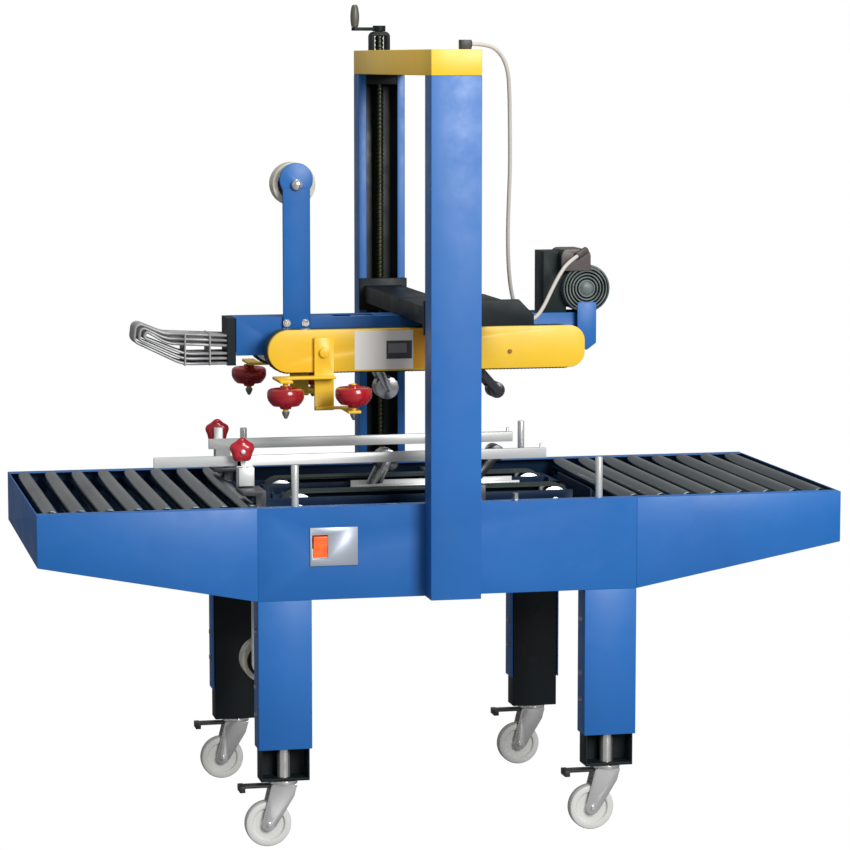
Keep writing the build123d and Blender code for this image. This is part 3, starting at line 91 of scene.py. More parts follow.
def surface_film():
    """A thin skin over any finish: colour drift, uneven gloss and a fine grain."""
    tree = bpy.data.node_groups.new("surface_film", "ShaderNodeTree")
    sockets = (
        ("Colour", "NodeSocketColor", (0.8, 0.8, 0.8, 1.0)),
        ("Deep Colour", "NodeSocketColor", (0.5, 0.5, 0.5, 1.0)),
        ("Patch Scale", "NodeSocketFloat", 3.0),
        ("Grain Scale", "NodeSocketFloat", 500.0),
        ("Stretch", "NodeSocketVector", (1.0, 1.0, 1.0)),
        ("Smooth", "NodeSocketFloat", 0.3),
        ("Rough", "NodeSocketFloat", 0.5),
        ("Dust", "NodeSocketFloat", 0.0),
    )
    for name, kind, value in sockets:
        socket = tree.interface.new_socket(name, in_out="INPUT", socket_type=kind)
        socket.default_value = value
    for name, kind in (("Colour", "NodeSocketColor"), ("Roughness", "NodeSocketFloat"), ("Height",
            "NodeSocketFloat")):
        tree.interface.new_socket(name, in_out="OUTPUT", socket_type=kind)
    given = tree.nodes.new("NodeGroupInput")
    result = tree.nodes.new("NodeGroupOutput")
    place = tree.nodes.new("ShaderNodeTexCoord")
    stretch = tree.nodes.new("ShaderNodeVectorMath")
    stretch.operation = "MULTIPLY"
    link(tree, place.outputs["Object"], stretch.inputs[0])
    link(tree, given.outputs["Stretch"], stretch.inputs[1])
    patches = tree.nodes.new("ShaderNodeTexNoise")
    patches.inputs["Detail"].default_value = 4.0
    link(tree, stretch.outputs[0], patches.inputs["Vector"])
    link(tree, given.outputs["Patch Scale"], patches.inputs["Scale"])
    spread = tree.nodes.new("ShaderNodeMapRange")
    spread.inputs["From Min"].default_value = 0.3
    spread.inputs["From Max"].default_value = 0.7
    link(tree, patches.outputs["Fac"], spread.inputs["Value"])
    drift = tree.nodes.new("ShaderNodeMix")
    drift.data_type = "RGBA"
    link(tree, spread.outputs["Result"], drift.inputs["Factor"])
    link(tree, given.outputs["Colour"], drift.inputs["A"])
    link(tree, given.outputs["Deep Colour"], drift.inputs["B"])
    grain = tree.nodes.new("ShaderNodeTexNoise")
    grain.inputs["Detail"].default_value = 3.0
    link(tree, stretch.outputs[0], grain.inputs["Vector"])
    link(tree, given.outputs["Grain Scale"], grain.inputs["Scale"])
    smudge = tree.nodes.new("ShaderNodeTexNoise")
    smudge.inputs["Scale"].default_value = 14.0
    smudge.inputs["Detail"].default_value = 6.0
    smudge.inputs["Roughness"].default_value = 0.65
    link(tree, stretch.outputs[0], smudge.inputs["Vector"])
    gloss = tree.nodes.new("ShaderNodeMapRange")
    gloss.inputs["From Min"].default_value = 0.35
    gloss.inputs["From Max"].default_value = 0.68
    link(tree, smudge.outputs["Fac"], gloss.inputs["Value"])
    link(tree, given.outputs["Smooth"], gloss.inputs["To Min"])
    link(tree, given.outputs["Rough"], gloss.inputs["To Max"])
    fleck = tree.nodes.new("ShaderNodeMapRange")
    fleck.inputs["From Min"].default_value = 0.6
    fleck.inputs["From Max"].default_value = 0.78
    link(tree, smudge.outputs["Fac"], fleck.inputs["Value"])
    amount = tree.nodes.new("ShaderNodeMath")
    amount.operation = "MULTIPLY"
    link(tree, fleck.outputs["Result"], amount.inputs[0])
    link(tree, given.outputs["Dust"], amount.inputs[1])
    dusty = tree.nodes.new("ShaderNodeMix")
    dusty.data_type = "RGBA"
    dusty.inputs["B"].default_value = (0.55, 0.52, 0.47, 1.0)
    link(tree, amount.outputs[0], dusty.inputs["Factor"])
    link(tree, drift.outputs["Result"], dusty.inputs["A"])
    link(tree, dusty.outputs["Result"], result.inputs["Colour"])
    link(tree, gloss.outputs["Result"], result.inputs["Roughness"])
    link(tree, grain.outputs["Fac"], result.inputs["Height"])
    return tree


film = surface_film()


def finish(name, colour, deep, smooth=0.3, rough=0.45, metallic=0.0, patch=3.0, grain=500.0,
           stretch=(1.0, 1.0, 1.0), bump=0.15, depth=0.0002, dust=0.0, coat=0.0, glow=0.0, shine=0.5):
    """One finish: a Principled surface under the shared film."""
    material = bpy.data.materials.new(name)
    material.use_nodes = True
    tree = material.node_tree
    shader = tree.nodes["Principled BSDF"]
    skin = tree.nodes.new("ShaderNodeGroup")
    skin.node_tree = film
    skin.inputs["Colour"].default_value = (*colour, 1.0)
    skin.inputs["Deep Colour"].default_value = (*deep, 1.0)
    skin.inputs["Patch Scale"].default_value = patch
    skin.inputs["Grain Scale"].default_value = grain
    skin.inputs["Stretch"].default_value = stretch
    skin.inputs["Smooth"].default_value = smooth
    skin.inputs["Rough"].default_value = rough
    skin.inputs["Dust"].default_value = dust
    relief = tree.nodes.new("ShaderNodeBump")
    relief.inputs["Strength"].default_value = bump
    relief.inputs["Distance"].default_value = depth
    link(tree, skin.outputs["Colour"], shader.inputs["Base Color"])
    link(tree, skin.outputs["Roughness"], shader.inputs["Roughness"])
    link(tree, skin.outputs["Height"], relief.inputs["Height"])
    link(tree, relief.outputs["Normal"], shader.inputs["Normal"])
    shader.inputs["Metallic"].default_value = metallic
    shader.inputs["Coat Weight"].default_value = coat
    shader.inputs["Specular IOR Level"].default_value = shine
    if glow:
        link(tree, skin.outputs["Colour"], shader.inputs["Emission Color"])
        shader.inputs["Emission Strength"].default_value = glow
    return material


blue_paint = finish("blue_powder_coat", (0.012, 0.146, 0.480), (0.010, 0.125, 0.420), 0.36, 0.50,
                    grain=900.0, dust=0.02)


def shade(mesh, angle=35.0):
    """Smooth shading that stops at sharp corners."""
    mesh.polygons.foreach_set("use_smooth", [True] * len(mesh.polygons))
    mesh.set_sharp_from_angle(angle=math.radians(angle))


def add_piece(name, mesh, material):
    mesh.materials.clear()
    mesh.materials.append(material)
    piece = bpy.data.objects.new(name, mesh)
    scene.collection.objects.link(piece)
    return piece


def applied(piece):
    """The piece with its modifiers made part of its mesh."""
    view = bpy.context.evaluated_depsgraph_get()
    mesh = bpy.data.meshes.new_from_object(piece.evaluated_get(view))
    piece.modifiers.clear()
    piece.data = mesh
    return piece


def eased(node, width, material, body="root", segments=2):
    """A node's own shape with its sharp edges rounded; it stands for the node."""
    mesh = frame["nodes"][node].data.copy()
    work = bmesh.new()
    work.from_mesh(mesh)
    bmesh.ops.remove_doubles(work, verts=work.verts, dist=1e-5)
    bmesh.ops.dissolve_limit(work, angle_limit=math.radians(0.5), verts=work.verts, edges=work.edges)
    work.to_mesh(mesh)
    work.free()
    piece = add_piece(node + "_shape", mesh, material)
    bevel = piece.modifiers.new("eased_edges", "BEVEL")
    bevel.width = width
    bevel.segments = segments
    bevel.limit_method = "ANGLE"
    bevel.angle_limit = math.radians(40.0)
    bevel.use_clamp_overlap = False
    applied(piece)
    shade(piece.data)
    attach(piece, body)
    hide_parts(node)
    return piece


def second_finish(piece, material, chosen):
    """Give the faces whose centre and normal pass a test another finish."""
    piece.data.materials.append(material)
    for face in piece.data.polygons:
        if chosen(face.center, face.normal):
            face.material_index = len(piece.data.materials) - 1


# Near-black blue for the faces inside the bed: painted shade, since these faces are blue like the rest of
# the panels.
inner_painted_shade = finish("painted_shade_inner_faces", (0.004, 0.022, 0.062), (0.003, 0.014, 0.040), 0.45, 0.65,
                     grain=900.0, dust=0.05, shine=0.2)
PANEL_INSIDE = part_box("far_side_panel")[1].y - 0.0029
PANEL_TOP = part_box("far_side_panel")[1].z


def faces_inward(centre, normal):
    return abs(centre.y) < PANEL_INSIDE and centre.z < PANEL_TOP - 0.001


for node in ("near_side_panel", "far_side_panel"):
    second_finish(eased(node, 0.0009, blue_paint), inner_painted_shade, faces_inward)

# ---- Roller tables ----
# Tapered folded sides with an end plate, bolted to each end of the bed.
END_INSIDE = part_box("roller_table_frames")[1].x - 0.0029
tables = eased("roller_table_frames", 0.0009, blue_paint)
# The tables' inward faces get the same painted shade.
second_finish(tables, inner_painted_shade, lambda centre, normal: faces_inward(centre,
        normal) and abs(centre.x) < END_INSIDE)

# ---- Bed deck ----
# Deck sheets, belt plates and cross plates inside the bed, blue like the frame; here they get a near-black
# blue, painted shade for the dark inside of the bed.
deck_painted_shade = finish("painted_shade_deck", (0.006, 0.026, 0.070), (0.004, 0.016, 0.045), 0.4, 0.6,
                    grain=900.0, dust=0.06, shine=0.2)
eased("bed_deck", 0.0006, deck_painted_shade)

# ---- Legs ----
# Blue channels flush with the panels, and black channels that slide in them.
black_paint = finish("black_powder_coat", (0.005, 0.009, 0.011), (0.009, 0.014, 0.016), 0.4, 0.55,
                     grain=900.0, dust=0.03, shine=0.2)
eased("outer_legs", 0.0009, blue_paint)
eased("inner_legs", 0.0008, black_paint, body="legs")

# ---- Conveyor rollers ----
# Galvanised tubes with pressed end caps, each free on a fixed axle.
# The tube colour is kept very dark: painted reflection of the dark surroundings the rollers mirror.
roller_metal_painted_dark = finish("galvanised_tube_painted_dark", (0.15, 0.19, 0.21), (0.09, 0.12, 0.14), 0.14, 0.26, metallic=1.0,
                    patch=9.0, grain=700.0, stretch=(1.0, 0.25, 1.0), bump=0.1)


def islands(node):
    """The boxes of a node's separate solids."""
    work = bmesh.new()
    work.from_mesh(frame["nodes"][node].data)
    bmesh.ops.remove_doubles(work, verts=work.verts, dist=1e-5)
    left = set(work.verts)
    boxes = []
    while left:
        stack = [left.pop()]
        low, high = stack[0].co.copy(), stack[0].co.copy()
        while stack:
            vert = stack.pop()
            low = Vector(map(min, low, vert.co))
            high = Vector(map(max, high, vert.co))
            for edge in vert.link_edges:
                other = edge.other_vert(vert)
                if other in left:
                    left.remove(other)
                    stack.append(other)
        boxes.append((low, high))
    work.free()
    return sorted(boxes, key=lambda pair: tuple(pair[0]))


AXIS_TURN = {"X": Matrix.Rotation(math.radians(90), 4, "Y"), "Y": Matrix.Rotation(math.radians(-90), 4,
        "X"), "Z": Matrix.Identity(4)}


def lathe(profile, centre, axis, steps=48):
    """A turned mesh: profile is (radius, distance along the axis) from end to end."""
    work = bmesh.new()
    rings = []
    for radius, along in profile:
        if radius < 1e-6:
            rings.append([work.verts.new((0.0, 0.0, along))])
            continue
        turn = [2 * math.pi * k / steps for k in range(steps)]
        rings.append([work.verts.new((radius * math.cos(a), radius * math.sin(a), along)) for a in turn])
    for first, second in zip(rings, rings[1:]):
        for k in range(steps):
            corners = [first[k % len(first)], first[(k + 1) % len(first)]]
            corners += [second[(k + 1) % len(second)], second[k % len(second)]]
            distinct = list(dict.fromkeys(corners))
            if len(distinct) > 2:
                work.faces.new(distinct)
    bmesh.ops.recalc_face_normals(work, faces=work.faces)
    mesh = bpy.data.meshes.new("turned")
    work.to_mesh(mesh)
    work.free()
    mesh.transform(Matrix.Translation(centre) @ AXIS_TURN[axis])
    shade(mesh)
    return mesh


def merged(meshes):
    """Several meshes as one."""
    work = bmesh.new()
    for mesh in meshes:
        work.from_mesh(mesh)
        bpy.data.meshes.remove(mesh)
    mesh = bpy.data.meshes.new("merged")
    work.to_mesh(mesh)
    work.free()
    shade(mesh)
    return mesh


roller_meshes = []
for low, high in islands("conveyor_rollers"):
    centre = (low + high) / 2
    radius = (high.z - low.z) / 2
    half = high.y - 0.033
    end = high.y
    outline = [
        (0.0, -end), (0.006, -end), (0.006, -half + 0.003), (0.014, -half + 0.002), (0.016, -half + 0.0005),
        (radius - 0.0015, -half), (radius, -half + 0.0015), (radius, half - 0.0015), (radius - 0.0015,
                                                                                      half),
        (0.016, half - 0.0005), (0.014, half - 0.002), (0.006, half - 0.003), (0.006, end), (0.0, end),
    ]
    roller_meshes.append(lathe(outline, centre, "Y", 40))
rollers = add_piece("table_rollers", merged(roller_meshes), roller_metal_painted_dark)
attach(rollers, "root")
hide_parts("conveyor_rollers")

# ---- Columns ----
# Two lipped channels bolted outside the panels; the head slides in their mouths.
COLUMN_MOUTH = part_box("far_column")[0].y + 0.0025
COLUMN_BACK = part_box("far_column")[1].y - 0.0025
COLUMN_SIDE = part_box("far_column")[1].x - 0.0025
channel_painted_shade = finish("channel_inside_painted_shade", (0.010, 0.016, 0.020), (0.016, 0.026, 0.026), 0.3, 0.5,
                      patch=6.0, dust=0.05, shine=0.25)
# Faces inside each channel's mouth get a near-black finish: painted shade for the dark inside of the
# column.
for node in ("near_column", "far_column"):
    channel = eased(node, 0.0012, blue_paint, segments=3)
    second_finish(channel, channel_painted_shade, lambda centre, normal: COLUMN_MOUTH < abs(centre.y) < COLUMN_BACK
                  and abs(centre.x) < COLUMN_SIDE)

# ---- Bridge ----
# A yellow folded cover over the column tops, with the screw chain under it.
yellow_paint = finish("yellow_powder_coat", (0.92, 0.60, 0.030), (0.89, 0.53, 0.020), 0.30, 0.44,
                      grain=900.0, dust=0.03)
chain_steel = finish("oiled_chain_steel", (0.16, 0.15, 0.14), (0.10, 0.09, 0.08), 0.3, 0.5, metallic=1.0)
eased("bridge_cover", 0.0018, yellow_paint, segments=3)
frame["nodes"]["screw_chain"].data.materials.clear()
frame["nodes"]["screw_chain"].data.materials.append(chain_steel)

# ---- Lead screws ----
# Single-start square threads, ground and greased, one in each column.
screw_steel = finish("greased_screw_steel", (0.085, 0.075, 0.040), (0.040, 0.055, 0.040), 0.25, 0.42,
                     metallic=0.9)
THREAD_PITCH = 0.010
THREAD_DEPTH = 0.0016


def threaded(x, y, low, high, radius):
    """A rod whose radius dips along a helix."""
    sides = 20
    rows = int((high - low) / (THREAD_PITCH / 8))
    work = bmesh.new()
    rings = []
    for row in range(rows + 1):
        z = low + (high - low) * row / rows
        ring = []
        for k in range(sides):
            turn = k / sides
            phase = (z / THREAD_PITCH - turn) % 1.0
            dip = THREAD_DEPTH if 0.25 < phase < 0.62 else 0.0
            angle = 2 * math.pi * turn
            r = radius - dip
            ring.append(work.verts.new((x + r * math.cos(angle), y + r * math.sin(angle), z)))
        rings.append(ring)
    for first, second in zip(rings, rings[1:]):
        for k in range(sides):
            work.faces.new((first[k], first[(k + 1) % sides], second[(k + 1) % sides], second[k]))
    work.faces.new(list(reversed(rings[0])))
    work.faces.new(rings[-1])
    mesh = bpy.data.meshes.new("thread")
    work.to_mesh(mesh)
    work.free()
    return mesh


SCREW_RADIUS = 0.0098
for node, body in (("near_lead_screw", "near_screw"), ("far_lead_screw", "crank")):
    low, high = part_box(node)
    middle = (low + high) / 2
    sprocket = high.x - low.x
    parts = [threaded(middle.x, middle.y, low.z, high.z, SCREW_RADIUS)]
    sprocket_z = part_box("bridge_cover")[0].z + 0.014
    outline = [(0.0, 0.0), (sprocket / 2 - 0.001, 0.0), (sprocket / 2, 0.002), (sprocket / 2, 0.006),
               (sprocket / 2 - 0.001, 0.008), (0.0, 0.008)]
    parts.append(lathe(outline, (middle.x, middle.y, sprocket_z), "Z", 36))
    screw = add_piece(node + "_thread", merged(parts), screw_steel)
    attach(screw, body)
    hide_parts(node)

# ---- Crank ----
# A black arm on the far screw with a turned olive-grey grip that spins on its pin.
grip_plastic = finish("olive_grip_plastic", (0.13, 0.13, 0.10), (0.09, 0.09, 0.075), 0.35, 0.5,
                      grain=1500.0, bump=0.3)
eased("crank_arm", 0.0012, black_paint, body="crank", segments=3)
low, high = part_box("crank_grip")
centre = ((low.x + high.x) / 2, (low.y + high.y) / 2, low.z)
tall = high.z - low.z
radius = (high.x - low.x) / 2
outline = [(0.0042, 0.0), (radius * 0.70, 0.0), (radius * 0.78, 0.002)]
outline += [(radius * (0.80 + 0.20 * math.sin(math.pi * k / 12)),
             0.002 + (tall - 0.010) * k / 12) for k in range(1, 12)]
outline += [(radius * 0.80, tall - 0.007), (radius * 0.55, tall - 0.001), (0.0042, tall), (0.0042, 0.0)]
grip = add_piece("turned_grip", lathe(outline, centre, "Z", 40), grip_plastic)
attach(grip, "grip")
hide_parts("crank_grip")

# ---- Bolts and fittings on the frame ----
# Zinc hex bolts with washers at the legs, seams and column feet, the black screw
# bearings and crank bracket, and black plastic cable glands.
bolt_zinc = finish("zinc_bolt_heads", (0.50, 0.51, 0.52), (0.36, 0.37, 0.38), 0.25, 0.42, metallic=1.0)
gland_plastic = finish("black_gland_plastic", (0.015, 0.015, 0.017), (0.022, 0.022, 0.024), 0.35, 0.5,
                       grain=1500.0)


def bolt_tree():
    """Points become hex heads on washers, standing along each point's normal."""
    tree = bpy.data.node_groups.new("hex_bolts", "GeometryNodeTree")
    tree.interface.new_socket("Points", in_out="INPUT", socket_type="NodeSocketGeometry")
    for name, value in (("Head Radius", 0.007), ("Head Height", 0.005), ("Washer Radius", 0.009)):
        socket = tree.interface.new_socket(name, in_out="INPUT", socket_type="NodeSocketFloat")
        socket.default_value = value
    tree.interface.new_socket("Finish", in_out="INPUT", socket_type="NodeSocketMaterial")
    tree.interface.new_socket("Bolts", in_out="OUTPUT", socket_type="NodeSocketGeometry")
    given = tree.nodes.new("NodeGroupInput")
    result = tree.nodes.new("NodeGroupOutput")
    both = tree.nodes.new("GeometryNodeJoinGeometry")
    thin = 0.0012
    for sides, radius, tall in ((6, "Head Radius", None), (24, "Washer Radius", thin)):
        disc = tree.nodes.new("GeometryNodeMeshCylinder")
        disc.inputs["Vertices"].default_value = sides
        link(tree, given.outputs[radius], disc.inputs["Radius"])
        lift = tree.nodes.new("GeometryNodeTransform")
        up = tree.nodes.new("ShaderNodeCombineXYZ")
        if tall is None:
            link(tree, given.outputs["Head Height"], disc.inputs["Depth"])
            half = tree.nodes.new("ShaderNodeMath")
            half.operation = "MULTIPLY"
            half.inputs[1].default_value = 0.5
            link(tree, given.outputs["Head Height"], half.inputs[0])
            link(tree, half.outputs[0], up.inputs["Z"])
        else:
            disc.inputs["Depth"].default_value = tall
            up.inputs["Z"].default_value = tall / 2
        link(tree, up.outputs[0], lift.inputs["Translation"])
        link(tree, disc.outputs["Mesh"], lift.inputs["Geometry"])
        link(tree, lift.outputs["Geometry"], both.inputs[0])
    facing = tree.nodes.new("GeometryNodeInputNamedAttribute")
    facing.data_type = "FLOAT_VECTOR"
    facing.inputs["Name"].default_value = "facing"
    turn = tree.nodes.new("FunctionNodeAlignRotationToVector")
    turn.axis = "Z"
    link(tree, facing.outputs["Attribute"], turn.inputs["Vector"])
    place = tree.nodes.new("GeometryNodeInstanceOnPoints")
    link(tree, given.outputs["Points"], place.inputs["Points"])
    link(tree, both.outputs[0], place.inputs["Instance"])
    link(tree, turn.outputs["Rotation"], place.inputs["Rotation"])
    real = tree.nodes.new("GeometryNodeRealizeInstances")
    link(tree, place.outputs["Instances"], real.inputs["Geometry"])
    paint = tree.nodes.new("GeometryNodeSetMaterial")
    link(tree, real.outputs["Geometry"], paint.inputs["Geometry"])
    link(tree, given.outputs["Finish"], paint.inputs["Material"])
    link(tree, paint.outputs["Geometry"], result.inputs["Bolts"])
    return tree


hex_bolts = bolt_tree()


def bolts(name, places, body, material, head=0.007, height=0.005, washer=0.009):
    """Bolt heads at (point, facing) places, as one piece on one body."""
    mesh = bpy.data.meshes.new(name)
    mesh.from_pydata([tuple(point) for point, facing in places], [], [])
    facings = mesh.attributes.new("facing", "FLOAT_VECTOR", "POINT")
    facings.data.foreach_set("vector", [value for point, facing in places for value in facing])
    piece = add_piece(name, mesh, material)
    modifier = piece.modifiers.new("hex_bolts", "NODES")
    modifier.node_group = hex_bolts
    sizes = {"Head Radius": head, "Head Height": height, "Washer Radius": washer, "Finish": material}
    for item in hex_bolts.interface.items_tree:
        if item.in_out == "INPUT" and item.name in sizes:
            modifier[item.identifier] = sizes[item.name]
    applied(piece)
    shade(piece.data)
    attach(piece, body)
    return piece


frame_bolts = []
other_fittings = []
for low, high in islands("frame_fittings"):
    size = high - low
    if max(size) < 0.020:
        thin_axis = min(range(3), key=lambda k: size[k])
        centre = (low + high) / 2
        outward = Vector((0.0, 0.0, 0.0))
        if thin_axis == 0:
            leg_x = 0.360 if centre.x > 0 else -0.360
            outward.x = 1.0 if centre.x > leg_x else -1.0
        else:
            outward.y = 1.0 if centre.y > 0 else -1.0
        if thin_axis == 1 and not 0.362 < abs(centre.y) < 0.40:
            outward.y = -outward.y
        start = centre - outward * size[thin_axis] / 2
        frame_bolts.append((start, outward))
    else:
        other_fittings.append((low, high))
flange_screw = [((0.150, -PANEL_INSIDE + 0.015, PANEL_TOP), (0.0, 0.0, 1.0))]
bolts("flange_screw", flange_screw, "root", bolt_zinc, head=0.0075, height=0.015, washer=0.010)
bolts("frame_bolts", frame_bolts, "root", bolt_zinc, head=0.0064, height=0.0044)


def part_of(node, wanted):
    """The separate solids of a node whose boxes pass a test, as one mesh."""
    mesh = frame["nodes"][node].data.copy()
    work = bmesh.new()
    work.from_mesh(mesh)
    bmesh.ops.remove_doubles(work, verts=work.verts, dist=1e-5)
    bmesh.ops.dissolve_limit(work, angle_limit=math.radians(0.5), verts=work.verts, edges=work.edges)
    left = set(work.verts)
    drop = []
    while left:
        stack = [left.pop()]
        group = []
        while stack:
            vert = stack.pop()
            group.append(vert)
            for edge in vert.link_edges:
                other = edge.other_vert(vert)
                if other in left:
                    left.remove(other)
                    stack.append(other)
        low = Vector([min(v.co[k] for v in group) for k in range(3)])
        high = Vector([max(v.co[k] for v in group) for k in range(3)])
        if not wanted(low, high):
            drop += group
    bmesh.ops.delete(work, geom=drop, context="VERTS")
    work.to_mesh(mesh)
    work.free()
    return mesh


def rounded_piece(name, mesh, material, width, body, segments=2):
    piece = add_piece(name, mesh, material)
    bevel = piece.modifiers.new("eased_edges", "BEVEL")
    bevel.width = width
    bevel.segments = segments
    bevel.limit_method = "ANGLE"
    bevel.angle_limit = math.radians(40.0)
    bevel.use_clamp_overlap = False
    applied(piece)
    shade(piece.data)
    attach(piece, body)
    return piece


castings = part_of("frame_fittings", lambda low, high: max(high - low) > 0.040)
castings_piece = rounded_piece("screw_bearings_and_bracket", castings, black_paint, 0.0012, "root")
glands = part_of("frame_fittings", lambda low, high: 0.020 < max(high - low) <= 0.040)
rounded_piece("cable_glands", glands, gland_plastic, 0.0008, "root")
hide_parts("frame_fittings")

# ---- Casters ----
# Chrome swivel forks with a stem into each leg, white nylon wheels and black pedals.
bright_chrome = finish("bright_chrome_plate", (0.88, 0.87, 0.86), (0.72, 0.71, 0.70), 0.10, 0.22,
                       metallic=0.85, bump=0.05)
white_nylon = finish("white_nylon_wheel", (0.74, 0.74, 0.72), (0.64, 0.64, 0.61), 0.35, 0.55, grain=900.0,
                     dust=0.25)
pedal_black = finish("black_pedal_plastic", (0.018, 0.018, 0.020), (0.028, 0.028, 0.030), 0.4, 0.55,
                     grain=1500.0, bump=0.3)
for y in ("near", "far"):
    for x in ("infeed", "outfeed"):
        node = f"{y}_{x}_caster_fork"
        body = f"{y}_{x}_fork"
        metal = part_of(node, lambda low, high: high.z - low.z > 0.05)
        fork = rounded_piece(f"{y}_{x}_fork_and_stem", metal, bright_chrome, 0.0008, body)
        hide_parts(node)
        lever = part_of(node, lambda low, high: high.z - low.z <= 0.05)
        rounded_piece(f"{y}_{x}_brake_pedal", lever, pedal_black, 0.0012, body)
        low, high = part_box(f"{y}_{x}_caster_wheel")
        centre = (low + high) / 2
        radius = (high.z - low.z) / 2
        half = (high.y - low.y) / 2 - 0.002
        outline = [(0.0051, -half - 0.002), (0.012, -half - 0.002), (0.013, -half + 0.002), (0.016,
                -half + 0.006),
                   (0.033, -half + 0.006), (0.036, -half + 0.001), (0.044, -half), (radius - 0.002,
                                                                                    -half + 0.002),
                   (radius - 0.0003, -half + 0.006), (radius, 0.0)]
        outline += [(r, -along) for r, along in reversed(outline[:-1])]
        outline.append(outline[0])
        wheel = add_piece(f"{y}_{x}_nylon_wheel", lathe(outline, centre, "Y", 64), white_nylon)
        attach(wheel, f"{y}_{x}_wheel")
        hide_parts(f"{y}_{x}_caster_wheel")

# ---- Drive belts and pulleys ----
# Dark green-black rubber belts with a fine rib, on machined steel pulleys.
belt_rubber = finish("ribbed_belt_rubber", (0.020, 0.050, 0.042), (0.012, 0.030, 0.026), 0.5, 0.7,
                     grain=300.0, bump=0.4, dust=0.1)
machined = finish("machined_steel", (0.52, 0.53, 0.54), (0.42, 0.43, 0.44), 0.2, 0.35, metallic=1.0)


def belt_loop(x0, x1, y, z, inside, outside, width, rib):
    """A flat belt round two pulleys, its outer face cut with fine cross ribs."""
    straight = x1 - x0
    around = 2 * straight + 2 * math.pi * outside
    steps = int(around / rib)
    work = bmesh.new()
    rings = []
    for k in range(steps):
        along = around * k / steps
        if along < straight:
            cx, angle = x0 + along, math.pi / 2
            outward = (0.0, 1.0)
        elif along < straight + math.pi * outside:
            angle = math.pi / 2 - (along - straight) / outside
            cx, outward = x1, (math.cos(angle), math.sin(angle))
        elif along < 2 * straight + math.pi * outside:
            cx, outward = x1 - (along - straight - math.pi * outside), (0.0, -1.0)
        else:
            angle = -math.pi / 2 - (along - 2 * straight - math.pi * outside) / outside
            cx, outward = x0, (math.cos(angle), math.sin(angle))
        top = outside - (0.0009 if k % 2 else 0.0)
        ring = []
        for r, side in ((inside, -1), (top, -1), (top, 1), (inside, 1)):
            ring.append(work.verts.new((cx + outward[0] * r, y + side * width / 2, z + outward[1] * r)))
        rings.append(ring)
    for first, second in zip(rings, rings[1:] + rings[:1]):
        for k in range(4):
            work.faces.new((first[k], first[(k + 1) % 4], second[(k + 1) % 4], second[k]))
    bmesh.ops.recalc_face_normals(work, faces=work.faces)
    mesh = bpy.data.meshes.new("belt")
    work.to_mesh(mesh)
    work.free()
    return mesh


for where, body in (("lower", "root"), ("upper", "head")):
    drive_low, drive_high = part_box(f"{where}_drive_pulleys")
    idler_low, idler_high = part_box(f"{where}_idler_pulleys")
    drive = (drive_low + drive_high) / 2
    idler = (idler_low + idler_high) / 2
    loops = []
    for low, high in islands(f"{where}_belts"):
        y = (low.y + high.y) / 2
        outside = (high.z - low.z) / 2
        loops.append(belt_loop(idler.x, drive.x, y, drive.z, outside - 0.0042, outside, high.y - low.y,
                               0.004))
    band = add_piece(f"{where}_ribbed_belts", merged(loops), belt_rubber)
    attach(band, body)
    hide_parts(f"{where}_belts")
    for node, rides in ((f"{where}_drive_pulleys", f"{where}_drive"), (f"{where}_idler_pulleys",
                                                                       f"{where}_idler")):
        eased(node, 0.0010, machined, body=rides)

# ---- Lower gearmotor ----
# A worm gearbox and motor under the deck, in dark grey-green paint.
motor_paint = finish("grey_green_motor_paint", (0.045, 0.060, 0.058), (0.030, 0.042, 0.042), 0.35, 0.55,
                     grain=700.0, bump=0.25, dust=0.15)
eased("lower_gearmotor", 0.0015, motor_paint)

# ---- Guard posts and cross bars ----
# Bright zinc rods standing at the panel tops, and square bars for the rails.
white_zinc = finish("bright_zinc_rod", (0.86, 0.86, 0.84), (0.74, 0.75, 0.74), 0.2, 0.35, metallic=0.6)
eased("rail_brackets", 0.0010, white_zinc)

# ---- Guide rails and knobs ----
# Bright rails on posts with sliding feet, clamped by red lobed knobs.
rail_zinc = finish("bright_zinc_rail", (0.84, 0.85, 0.83), (0.70, 0.71, 0.70), 0.3, 0.45, metallic=0.35,
                   stretch=(0.2, 1.0, 1.0), patch=12.0)
dark_zinc = finish("dark_zinc_feet", (0.10, 0.10, 0.11), (0.06, 0.065, 0.07), 0.3, 0.5, metallic=0.5)
knob_red = finish("red_knob_plastic", (0.66, 0.030, 0.050), (0.40, 0.010, 0.020), 0.16, 0.3, coat=0.4,
                  patch=25.0)


def lobed_knob(centre, outward, radius, thick):
    """A five-lobed knob whose rim swells and rounds over."""
    lobes = 5
    steps = 80
    rows = ((0.0, 0.62), (0.08, 0.82), (0.25, 0.97), (0.45, 1.0), (0.65, 0.95), (0.85, 0.78), (0.96, 0.56),
            (1.0, 0.36))
    work = bmesh.new()
    rings = []
    for along, swell in rows:
        ring = []
        for k in range(steps):
            angle = 2 * math.pi * k / steps
            lobe = 0.93 + 0.07 * math.cos(lobes * (angle - math.pi / 2))
            r = radius * lobe * swell
            ring.append(work.verts.new((r * math.cos(angle), along * thick * outward, r * math.sin(angle))))
        rings.append(ring)
    for first, second in zip(rings, rings[1:]):
        for k in range(steps):
            work.faces.new((first[k], first[(k + 1) % steps], second[(k + 1) % steps], second[k]))
    work.faces.new(rings[0])
    work.faces.new(list(reversed(rings[-1])))
    bmesh.ops.recalc_face_normals(work, faces=work.faces)
    mesh = bpy.data.meshes.new("knob")
    work.to_mesh(mesh)
    work.free()
    mesh.transform(Matrix.Translation(centre))
    shade(mesh, 50.0)
    return mesh


